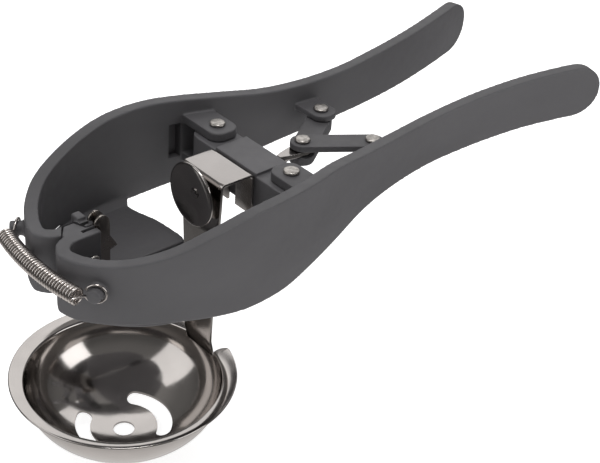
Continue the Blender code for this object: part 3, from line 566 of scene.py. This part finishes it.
def wall_place(x):
    """Outer face's y at a given x, on the belly and grip side of the nose."""
    first = int(np.argmin(COLUMNS[:, 0]))
    return float(np.interp(x, COLUMNS[first:, 0], COLUMNS[first:, 1]))


def wall_slope(x):
    """Slope of the outer face, seen from above."""
    return (wall_place(x + 2 * MM) - wall_place(x - 2 * MM)) / (4 * MM)


def lever_wall(name, side):
    """Belly wall, nose and grip: the outer face thickened inwards, with soft edges."""
    points, faces = [], []
    rows = 7
    for x, y, top, bottom in COLUMNS:
        points += [(x, side * y, z) for z in np.linspace(bottom, top, rows)]
    for column in range(len(COLUMNS) - 1):
        for row in range(rows - 1):
            a = column * rows + row
            quad = (a + rows, a, a + 1, a + rows + 1)
            faces.append(quad if side > 0 else quad[::-1])
    lever = mesh_from(name, points, faces)
    wall = lever.modifiers.new("wall", "SOLIDIFY")
    wall.thickness = WALL
    wall.offset = -1
    wall.use_even_offset = True
    edges = lever.modifiers.new("edges", "BEVEL")
    edges.width = EDGE_ROUND
    edges.segments = 4
    edges.limit_method = "ANGLE"
    edges.angle_limit = math.radians(50)
    return settle(lever)


def lug(side, x, y, root_y, half_width, corner, bottom, top):
    """Level lug from a lever's wall to beyond a rivet at (x, y)."""
    end_y = y - half_width * 1.15
    outline = rounded_path([(x - half_width, root_y, 0), (x - half_width, end_y, corner),
                            (x + half_width, end_y, corner), (x + half_width, root_y, 0)], True)
    return level_plate("lug", [(px, side * py) for px, py in outline], bottom, top)


def stud(side):
    """Round stud on the nose's side that holds a spring loop."""
    foot = Vector((STUD_FOOT.x, side * STUD_FOOT.y, STUD_FOOT.z))
    normal = Vector((STUD_NORMAL.x, side * STUD_NORMAL.y, 0))
    turn = normal.to_track_quat("Z", "Y").to_matrix().to_4x4()
    inside, reach, edge = -2 * MM, STUD_REACH, STUD_EDGE
    profile = [(0, reach), (STUD_RADIUS - edge, reach)]
    profile += [(STUD_RADIUS - edge + edge * math.sin(a), reach - edge + edge * math.cos(a))
                for a in np.radians([30, 60, 90])]
    profile += [(STUD_RADIUS, 0.8 * MM), (STUD_RADIUS + 0.5 * MM, 0), (STUD_RADIUS, inside),
                (0, inside)]
    return turned("stud", profile, Matrix.Translation(foot) @ turn, 48)


def nose_tongue_outline(margin):
    """Tongue of the left arm that crosses the seam, with a margin all round."""
    front, rear, tip_y = TONGUE_FRONT_X - margin, TONGUE_REAR_X + margin, TONGUE_TIP_Y + margin
    return [(front, TONGUE_ROOT_Y), (rear, TONGUE_ROOT_Y), (rear, SEAM),
            (TONGUE_TIP_REAR_X + margin, tip_y), (TONGUE_TIP_FRONT_X - margin, tip_y), (front, SEAM)]


def box(low, high):
    (x0, y0, z0), (x1, y1, z1) = low, high
    y0, y1 = sorted((y0, y1))
    return level_plate("box", [(x0, y0), (x1, y0), (x1, y1), (x0, y1)], z0, z1)


def smooth_step(value, low, high):
    """Smooth rise from 0 to 1 between two values."""
    share = min(1, max(0, (value - low) / (high - low)))
    return share * share * (3 - 2 * share)


def egg_floor(side):
    """Half floor from the wall to the seam: a crease, then a shallow dish with a swept rear edge."""
    points, faces = [], []
    inner_y = SEAM + 0.25 * MM
    shares = np.linspace(0, 1, 17)
    stations = np.linspace(FLOOR_FRONT_X, FLOOR_REAR_X, 25)
    span = FLOOR_REAR_X - FLOOR_FRONT_X
    for place in stations:
        wall = wall_place(place) - WALL * 0.55 * math.hypot(1, wall_slope(place))
        crease = wall - FLOOR_CREASE_INSET
        for share in shares:
            y = wall + (inner_y - wall) * share
            if y > crease:
                height = FLOOR_CREASE_Z + (y - crease) / (wall - crease) * 3.2 * MM
            else:
                across = (crease - y) / (crease - inner_y)
                height = FLOOR_CREASE_Z + (FLOOR_MIDDLE_Z - FLOOR_CREASE_Z) * (across ** 0.9)
            # the rear edge runs into the wall with a fillet and swells a little towards the seam
            pull = 1.0 * MM - 3.6 * MM * max(0, 1 - share / 0.16) ** 2
            pull -= 2.4 * MM * smooth_step(share, 0.2, 0.6)
            pull += 1.4 * MM * max(0, (share - 0.9) / 0.1) ** 2
            x = place - pull * ((place - FLOOR_FRONT_X) / span) ** 2
            points.append((x, side * y, height - FLOOR_SHEET))
    count = len(shares)
    for column in range(len(stations) - 1):
        for row in range(count - 1):
            a = column * count + row
            quad = (a, a + count, a + count + 1, a + 1)
            faces.append(quad if side > 0 else quad[::-1])
    floor = mesh_from("floor_half", points, faces)
    sheet = floor.modifiers.new("sheet", "SOLIDIFY")
    sheet.thickness = FLOOR_SHEET
    sheet.offset = -1
    return settle(floor)


def make_lever(side_name):
    """Lever moulded in one with its lugs, stud, nose lock and half of the egg floor."""
    side = 1 if side_name == "right" else -1
    wall = lever_wall(f"{side_name}_lever_moulding", side)
    root = wall_place(0) - WALL / 2
    link_root = wall_place(LINK_LUG_X) - WALL / 2
    link_top = LINK_LUG_TOPS[side_name]
    parts = [wall, stud(side), egg_floor(side),
             lug(side, 0, PIVOT_Y, root, LUG_HALF_WIDTH, LUG_CORNER, UPPER_LUG_BOTTOM,
                 UPPER_LUG_BOTTOM + LUG_THICKNESS),
             lug(side, 0, PIVOT_Y, root, LUG_HALF_WIDTH, LUG_CORNER, LOWER_LUG_TOP - LUG_THICKNESS,
                 LOWER_LUG_TOP),
             lug(side, LINK_LUG_X, LINK_LUG_Y, link_root, LINK_LUG_HALF, LINK_LUG_CORNER,
                 link_top - LINK_LUG_THICKNESS, link_top)]
    tools = []
    if side < 0:
        parts.append(level_plate("tongue", nose_tongue_outline(0), TONGUE_BOTTOM, TONGUE_TOP))
    else:
        parts.append(box(STOP_LOW, STOP_HIGH))
        tools.append(level_plate("recess", nose_tongue_outline(TONGUE_GAP), TONGUE_BOTTOM - TONGUE_GAP,
                                 TONGUE_TOP + 6 * MM))
    lever = mould(join(parts), *LEVER_MOULD)
    face = wall_place(-LUG_HALF_WIDTH) - WALL
    far = 60 * MM       # beyond the lever, so a tool cuts right through
    tools += [box((POCKET_FRONT_X, side * (face - 4 * MM), POCKET_BOTTOM),
                  (POCKET_REAR_X, side * (face + POCKET_DEPTH), POCKET_TOP)),
              box((BLADE_SLOT_FRONT_X, side * (BLADE_Y - BLADE_SLOT_HALF), -far),
                  (BLADE_SLOT_REAR_X, side * (BLADE_Y + BLADE_SLOT_HALF), far))]
    hole_step = math.tau / 32
    for x, y in ((0, PIVOT_Y), (LINK_LUG_X, LINK_LUG_Y)):
        outline = arc(x, side * y, PIN_HOLE_RADIUS, 0, math.tau - hole_step, hole_step)
        tools.append(level_plate("hole", outline, -far, far))
    cut(lever, *tools)
    lever.name = f"{side_name}_lever_moulding"
    smooth_shade(lever, 38)
    finish_piece(lever, f"{side_name}_lever", [f"{side_name}_lever", f"{side_name}_egg_floor"],
                 "dark_plastic")


# ---------------------------------------------------------------- block and links

def make_moulded_parts():
    for side in ("left", "right"):
        make_lever(side)
        link = mould(copy_of(f"{side}_link_moulding", f"{side}_link"), *LINK_MOULD)
        finish_piece(link, f"{side}_link", [f"{side}_link"], "link_plastic")
    block = mould(copy_of("bridge_block_moulding", "bridge_block"), *BLOCK_MOULD)
    finish_piece(block, "bridge", ["bridge_block"], "block_plastic")


# ---------------------------------------------------------------- rivets

def head_profile(radius, height, edge):
    """Low domed head with a rolled edge, from its crown down to its underside."""
    crown = [(radius * s, height * (1 - 0.16 * s ** 2)) for s in np.linspace(0, 0.72, 6)]
    rim = [(radius * (0.72 + 0.28 * math.sin(a)), edge + (height * 0.917 - edge) * math.cos(a) ** 0.9)
           for a in np.linspace(0.25, math.pi / 2, 6)]
    return crown + rim + [(radius * 0.985, edge * 0.3), (radius * 0.93, 0)]


def make_pin(name, body, seed):
    """Upright rivet that fills its frame node: domed head, shank and peened tail."""
    low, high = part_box(name)
    centre = (low + high) / 2
    radius = (high.x - low.x) / 2
    head, tail, shank = 1.1 * MM, 0.8 * MM, 2.0 * MM
    under = high.z - head
    profile = [(r, under + z) for r, z in head_profile(radius, head, 0.3 * MM)]
    profile += [(shank, under), (shank, low.z + tail)]
    profile += [(radius * 0.9, low.z + tail), (radius * 0.84, low.z + tail * 0.3),
                (radius * 0.6, low.z), (0, low.z)]
    pin = turned(f"{name}_head", profile, Matrix.Translation((centre.x, centre.y, 0)), 64)
    top = Vector((centre.x, centre.y, under))
    dent(pin, top, Vector((0, 0, 1)), radius * 1.3, 0.16 * MM, 620, seed)
    finish_piece(smooth_shade(pin, 60), body, [name], "rivet_steel")


def make_blade_rivet(side, seed):
    name = f"{side}_blade_rivet"
    low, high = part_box(name)
    centre = (low + high) / 2
    sign = 1 if side == "right" else -1
    length = high.y - low.y
    head = 1.0 * MM
    profile = [(r, length - head + z) for r, z in head_profile(2.2 * MM, head, 0.25 * MM)]
    profile += [(1.1 * MM, length - head), (1.1 * MM, 0), (0, 0)]
    foot = Vector((centre.x, low.y if sign > 0 else high.y, centre.z))
    turn = Matrix.Rotation(math.radians(-90 * sign), 4, "X")
    rivet = turned(f"{name}_head", profile, Matrix.Translation(foot) @ turn, 48)
    direction = Vector((0, sign, 0))
    dent(rivet, foot + direction * (length - head), direction, 2.6 * MM, 0.12 * MM, 800, seed)
    finish_piece(smooth_shade(rivet, 60), f"{side}_lever", [name], "rivet_steel")


def make_rivets():
    bodies = {"left_pivot_rivet": "bridge", "right_pivot_rivet": "bridge",
              "left_link_rivet": "left_lever", "right_link_rivet": "right_lever",
              "toggle_pin": "plunger"}
    for seed, (name, body) in enumerate(bodies.items()):
        make_pin(name, body, seed * 7.3)
    for seed, side in enumerate(("left", "right")):
        make_blade_rivet(side, seed * 5.1)


# ---------------------------------------------------------------- plunger

TO_FRONT = Matrix.Rotation(math.radians(-90), 4, "Y")   # a turned piece's +Z becomes -X


def disc_front(radius):
    """Height of the disc's dished front along -X, at a radius."""
    return -(DISC_RIM_X + DISC_DISH * (1 - (radius / DISC_RADIUS) ** 2))


def make_plunger():
    """Rod, dished disc and the flat rivet that holds it."""
    rod = mould(copy_of("plunger_rod_bar", "plunger_rod"), *ROD_MOULD)
    finish_piece(rod, "plunger", ["plunger_rod"], "polished_steel")

    edge = DISC_SHEET / 2
    radii = np.linspace(DISC_HOLE_RADIUS, DISC_RADIUS - edge, 24)
    front = [(r, disc_front(r)) for r in radii]
    back = [(r, z - DISC_SHEET) for r, z in front[::-1]]
    middle_z = front[-1][1] - edge
    rim = [(DISC_RADIUS - edge + edge * math.cos(a), middle_z + edge * math.sin(a))
           for a in np.radians([60, 40, 20, 0, -20, -40, -60])]
    place = Matrix.Translation((0, 0, ROD_Z)) @ TO_FRONT
    disc = smooth_shade(turned("plunger_disc_dish", front + rim + back + front[:1], place, 128), 50)
    finish_piece(disc, "plunger", ["plunger_disc"], "bowl_steel")

    face = disc_front(0) + 0.05 * MM
    profile = [(r, face + z) for r, z in head_profile(DISC_RIVET_RADIUS, DISC_RIVET_HEIGHT, 0.1 * MM)]
    foot = face - DISC_SHANK_LENGTH
    profile += [(DISC_SHANK_RADIUS, face), (DISC_SHANK_RADIUS, foot), (0, foot)]
    rivet = turned("disc_rivet_head", profile, place, 48)
    middle = place @ Vector((0, 0, face))
    dent(rivet, middle, Vector((-1, 0, 0)), 2.6 * MM, 0.2 * MM, 900, 3.3)
    finish_piece(smooth_shade(rivet, 60), "plunger", ["disc_rivet"], "polished_steel")


# ---------------------------------------------------------------- blades

def make_blades():
    for side in ("left", "right"):
        blade = copy_of(f"{side}_blade_sheet", f"{side}_blade")
        clean = blade.modifiers.new("clean", "DECIMATE")
        clean.decimate_type = "DISSOLVE"
        clean.angle_limit = math.radians(1)
        soften_edges(settle(blade), 0.14 * MM, 2, 35)
        finish_piece(smooth_shade(blade, 40), f"{side}_lever", [f"{side}_blade"],
                     "blade_steel")


# ---------------------------------------------------------------- hanger and bowl

def strip(name, path, sheet):
    """Bent sheet strip from (x, z, half width) points along its middle."""
    points, faces = [], []
    across = 9
    for x, z, half in path:
        points += [(x, half * s, z) for s in np.linspace(-1, 1, across)]
    for row in range(len(path) - 1):
        for column in range(across - 1):
            a = row * across + column
            faces.append((a, a + 1, a + across + 1, a + across))
    piece = mesh_from(name, points, faces)
    thick = piece.modifiers.new("sheet", "SOLIDIFY")
    thick.thickness = sheet
    thick.offset = 0
    thick.use_even_offset = True
    return settle(piece)


def make_hanger():
    """Strap over the plunger rod: rear leg, flat top, long tapering front leg, foot."""
    half_sheet = HANGER_SHEET / 2
    foot_z = BOWL_RIM_Z - BOWL_FLANGE_DROP - 2.0 * MM
    line = rounded_path([(HANGER_REAR_X, -HANGER_REAR_DEPTH, 0), (HANGER_REAR_X, -half_sheet, 1.6 * MM),
                         (HANGER_FRONT_X, -half_sheet, 1.6 * MM),
                         (HANGER_FRONT_X, BOWL_RIM_Z + 3 * MM, 6 * MM),
                         (HANGER_FOOT_X, foot_z, 0)])
    dense = []
    for (x0, z0), (x1, z1) in zip(line, line[1:]):
        count = max(1, int(math.hypot(x1 - x0, z1 - z0) / (3 * MM)))
        dense += [(x0 + (x1 - x0) * k / count, z0 + (z1 - z0) * k / count) for k in range(count)]
    dense.append(line[-1])
    heights = [foot_z, BOWL_RIM_Z + 3 * MM, -50 * MM, -30 * MM, ROD_Z, 0]
    shares = [0, 0, 0.2, 0.55, 0.97, 1]
    path = []
    for x, z in dense:
        share = 1.0 if x > (HANGER_REAR_X + HANGER_FRONT_X) / 2 else float(np.interp(z, heights, shares))
        path.append((x, z, HANGER_FOOT_HALF + (HANGER_TOP_HALF - HANGER_FOOT_HALF) * share))
    hanger = strip("bowl_hanger_strap", path, HANGER_SHEET)
    reach = 3 * MM
    slot = box((HANGER_REAR_X - reach, -ROD_HOLE_RADIUS, -HANGER_REAR_DEPTH - 5 * MM),
               (HANGER_REAR_X + reach, ROD_HOLE_RADIUS, ROD_Z + ROD_HOLE_RADIUS))
    hole = turned("hole", [(0, -reach), (ROD_HOLE_RADIUS, -reach), (ROD_HOLE_RADIUS, reach), (0, reach)],
                  Matrix.Translation((HANGER_FRONT_X, 0, ROD_Z)) @ TO_FRONT, 48)
    cut(hanger, slot, hole)
    soften_edges(hanger, 0.18 * MM, 3, 50)
    finish_piece(smooth_shade(hanger, 45), "bridge", ["bowl_hanger"], "polished_steel")


def slot_outline(middle):
    """Curved slot with round ends, concentric with the bowl."""
    half = SLOT_WIDTH / 2
    start, end = middle - SLOT_SWEEP / 2, middle + SLOT_SWEEP / 2
    fine = math.radians(3)
    ends = [(BOWL_X + SLOT_PITCH_RADIUS * math.cos(a), SLOT_PITCH_RADIUS * math.sin(a))
            for a in (start, end)]
    outline = arc(BOWL_X, 0, SLOT_PITCH_RADIUS + half, start, end, fine)
    outline += arc(*ends[1], half, end, end + math.pi)[1:]
    outline += arc(BOWL_X, 0, SLOT_PITCH_RADIUS - half, end, start, fine)[1:]
    outline += arc(*ends[0], half, start + math.pi, start + math.tau)[1:-1]
    return outline


def flange_notch_outline():
    """Notch for the hanger: straight through the wall, then opening round the flange's corners."""
    half = HANGER_FOOT_HALF + 0.6 * MM
    inner_x = HANGER_FOOT_X - HANGER_SHEET - 0.6 * MM
    corner_x = BOWL_X + math.sqrt(BOWL_WALL_RADIUS ** 2 - half ** 2)
    radius = (BOWL_RIM_RADIUS - BOWL_WALL_RADIUS) * 0.85
    outer_x = corner_x + radius + 5 * MM
    right = [(inner_x, half), *arc(corner_x, half + radius, radius, -math.pi / 2, 0),
             (outer_x, half + radius)]
    return [(x, -y) for x, y in right] + right[::-1]


def make_bowl():
    """Spun bowl with a dished flange, notched for the strap, slotted and drained."""
    wall, lip = BOWL_WALL_RADIUS, -BOWL_FLANGE_DROP
    angles = np.linspace(0, math.pi / 2, 33)
    inner = [(wall * math.sin(a), lip - BOWL_DEPTH * math.cos(a)) for a in angles]
    outer = [((wall + BOWL_SHEET) * math.sin(a), lip - BOWL_SHEET - BOWL_DEPTH * math.cos(a))
             for a in angles[::-1]]
    rim = BOWL_RIM_RADIUS - BOWL_SHEET / 2
    lip_arc = rounded_path([(inner[-2][0], inner[-2][1], 0), (wall + 0.1 * MM, lip + 0.25 * MM, 0.9 * MM),
                            (rim, 0, 0)])[1:]
    edge = [(rim + BOWL_SHEET / 2 * math.sin(a), -BOWL_SHEET / 2 + BOWL_SHEET / 2 * math.cos(a))
            for a in np.radians([30, 60, 90, 120, 150])]
    under = rounded_path([(rim, -BOWL_SHEET, 0), (wall + BOWL_SHEET + 0.3 * MM, lip - 0.55 * MM, 0.7 * MM),
                          (outer[1][0], outer[1][1], 0)])[:-1]
    profile = inner[:-1] + lip_arc + edge + under + outer[1:]
    bowl = turned("separator_bowl_spun", profile, Matrix.Translation((BOWL_X, 0, BOWL_RIM_Z)), 192)
    low_z = BOWL_RIM_Z + lip - BOWL_DEPTH - 10 * MM
    high_z = BOWL_RIM_Z + lip - BOWL_DEPTH * 0.4
    notch = level_plate("notch", flange_notch_outline(), BOWL_RIM_Z + lip - 2.3 * MM, BOWL_RIM_Z + 3 * MM)
    slots = [level_plate("slot", slot_outline(SLOT_TURN + half_turn), low_z, high_z)
             for half_turn in (0, math.pi)]
    drain = level_plate("drain", arc(BOWL_X, 0, DRAIN_RADIUS, 0, math.tau * 59 / 60), low_z, high_z)
    cut(bowl, notch, *slots, drain)
    finish_piece(smooth_shade(bowl, 40), "bridge", ["separator_bowl"], "bowl_steel")


# ---------------------------------------------------------------- return spring

def spring_path():
    """Wire's middle line from the right stud's loop to the left one's, and where the coil is halved."""
    right_hold = STUD_FOOT + STUD_NORMAL * STUD_HOLD
    end = Vector((right_hold.x - 5.6 * MM, right_hold.y - 2.2 * MM))
    front_x = SPRING_FRONT_X
    sag = end.x - front_x
    radius = (end.y ** 2 + sag ** 2) / (2 * sag)
    centre = Vector((front_x + radius, 0, STUD_FOOT.z))
    half_angle = math.asin(end.y / radius)
    turns = round(2 * half_angle * radius / SPRING_PITCH)
    turns += turns % 2
    count = turns * SPRING_TURN_POINTS
    coil = []
    for index in range(count + 1):
        sweep = math.pi - half_angle + 2 * half_angle * index / count
        out = Vector((math.cos(sweep), math.sin(sweep), 0))
        phase = math.tau * index / SPRING_TURN_POINTS
        turn = out * math.cos(phase) + Vector((0, 0, math.sin(phase)))
        coil.append(centre + out * radius + turn * SPRING_RADIUS)
    right = spring_loop(1, coil[0], coil[1])[::-1] + coil[:count // 2 + 1]
    left = coil[count // 2:] + spring_loop(-1, coil[-1], coil[-2])
    return right, left


def spring_loop(side, start, inside):
    """Wire from the coil's end on to a stud and most of the way round it."""
    foot = Vector((STUD_FOOT.x, side * STUD_FOOT.y, STUD_FOOT.z))
    normal = Vector((STUD_NORMAL.x, side * STUD_NORMAL.y, 0))
    centre = foot + normal * STUD_HOLD
    radius = STUD_RADIUS + 0.3 * MM + SPRING_WIRE / 2
    towards = start - centre
    towards -= normal * towards.dot(normal)
    towards.normalize()
    up = Vector((0, 0, 1))
    up = (up - towards * up.dot(towards)).normalized()
    across = towards * radius + normal * LOOP_TILT
    ring = [centre + across * math.cos(a) + up * radius * math.sin(a)
            for a in np.radians(np.arange(-24, -345, -12))]
    leave = (start - inside).normalized() * radius * 0.9
    arrive = (ring[1] - ring[0]).normalized() * radius * 0.9
    bridge = []
    for t in np.linspace(0, 1, 9)[1:-1]:    # Hermite curve from the coil on to the ring
        on = 3 * t ** 2 - 2 * t ** 3
        bridge.append(start * (1 - on) + leave * (t ** 3 - 2 * t ** 2 + t)
                      + ring[0] * on + arrive * (t ** 3 - t ** 2))
    return bridge + ring


def wire(name, points, diameter):
    """Round wire along points, as a mesh."""
    curve = bpy.data.curves.new(name, "CURVE")
    curve.dimensions = "3D"
    curve.bevel_depth = diameter / 2
    curve.bevel_resolution = 2
    curve.use_fill_caps = True
    spline = curve.splines.new("POLY")
    spline.points.add(len(points) - 1)
    for point, place in zip(spline.points, points):
        point.co = (*place, 1)
    holder = new_object(name, curve)
    bpy.context.view_layer.update()
    mesh = bpy.data.meshes.new_from_object(holder.evaluated_get(bpy.context.evaluated_depsgraph_get()))
    bpy.data.objects.remove(holder, do_unlink=True)
    return new_object(name, mesh)


def make_spring():
    """Two half springs, each from its lever's stud loop to the middle of the coil."""
    right, left = spring_path()
    for side, points in (("right", right), ("left", left)):
        half = smooth_shade(wire(f"return_spring_{side}_half", points, SPRING_WIRE))
        finish_piece(half, None, ["return_spring"], "spring_steel")
        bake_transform(half)


# ---------------------------------------------------------------- stage

def make_camera():
    """Camera at the product shot's viewing angle, rolled a little."""
    forward = Vector((-math.sin(CAMERA_AZIMUTH) * math.cos(CAMERA_ELEVATION),
                      math.cos(CAMERA_AZIMUTH) * math.cos(CAMERA_ELEVATION), -math.sin(CAMERA_ELEVATION)))
    right = Vector((math.cos(CAMERA_AZIMUTH), math.sin(CAMERA_AZIMUTH), 0))
    up = right.cross(forward)
    rolled_right = right * math.cos(CAMERA_ROLL) + up * math.sin(CAMERA_ROLL)
    rolled_up = up * math.cos(CAMERA_ROLL) - right * math.sin(CAMERA_ROLL)
    data = bpy.data.cameras.new("camera")
    data.lens = CAMERA_LENS_MM
    data.sensor_width = CAMERA_SENSOR_MM
    data.clip_start, data.clip_end = 0.01, 50
    camera = bpy.data.objects.new("camera", data)
    bpy.context.scene.collection.objects.link(camera)
    matrix = Matrix((rolled_right, rolled_up, -forward)).transposed().to_4x4()
    matrix.translation = CAMERA_TARGET - forward * CAMERA_DISTANCE
    camera.matrix_world = matrix
    bpy.context.scene.camera = camera


def area_light(name, place, width, height, power):
    """Softbox aimed at the middle of the object."""
    data = bpy.data.lights.new(name, "AREA")
    data.shape = "RECTANGLE"
    data.size, data.size_y = width, height
    data.energy = power
    light = bpy.data.objects.new(name, data)
    bpy.context.scene.collection.objects.link(light)
    light.location = place
    light.rotation_mode = "QUATERNION"
    light.rotation_quaternion = (SOFTBOX_AIM - Vector(place)).to_track_quat("-Z", "Y")


def make_floor():
    """Pale floor just under the bowl, which glows a little so that shadows stay faint."""
    size = 4.0
    z = cad_low.z - 0.2 * MM
    floor = mesh_from("floor", [(-size, -size, z), (size, -size, z), (size, size, z), (-size, size, z)],
                      [(0, 1, 2, 3)])
    material = bpy.data.materials.new("floor")
    material.use_nodes = True
    shader = material.node_tree.nodes["Principled BSDF"]
    shader.inputs["Base Color"].default_value = (0.86, 0.86, 0.86, 1)
    shader.inputs["Roughness"].default_value = 0.9
    shader.inputs["Specular IOR Level"].default_value = 0.1
    shader.inputs["Emission Color"].default_value = (1, 1, 1, 1)
    shader.inputs["Emission Strength"].default_value = FLOOR_GLOW
    floor.data.materials.append(material)
    floor.visible_glossy = False    # the steel reflects the room, as in a cut-out product shot


def make_world():
    """Studio room: pale ceiling, darker walls, pale floor."""
    world = bpy.data.worlds.new("studio")
    bpy.context.scene.world = world
    world.use_nodes = True
    tree = world.node_tree
    background = tree.nodes["Background"]
    place = tree.nodes.new("ShaderNodeTexCoord")
    split = tree.nodes.new("ShaderNodeSeparateXYZ")
    ramp = tree.nodes.new("ShaderNodeValToRGB")
    ramp.color_ramp.interpolation = "EASE"
    elements = ramp.color_ramp.elements
    while len(elements) < len(ROOM_BRIGHTNESS):
        elements.new(0.5)
    for element, (at, value) in zip(elements, ROOM_BRIGHTNESS):
        element.position = at
        element.color = (*(value * tint for tint in ROOM_TINT), 1)
    shift = tree.nodes.new("ShaderNodeMapRange")
    shift.inputs["From Min"].default_value = -1
    shift.inputs["From Max"].default_value = 1
    tree.links.new(place.outputs["Generated"], split.inputs["Vector"])
    tree.links.new(split.outputs["Z"], shift.inputs["Value"])
    tree.links.new(shift.outputs["Result"], ramp.inputs["Fac"])
    tree.links.new(ramp.outputs["Color"], background.inputs["Color"])
    background.inputs["Strength"].default_value = 1.0


def make_lights():
    """Four softboxes round the object."""
    for name, (place, width, height, power) in SOFTBOXES.items():
        area_light(name, place, width, height, power)


make_moulded_parts()
make_rivets()
make_plunger()
make_blades()
make_hanger()
make_bowl()
make_spring()
make_camera()
make_floor()
make_world()
make_lights()
bpy.context.scene.view_settings.view_transform = "Standard"

bpy.context.view_layer.update()
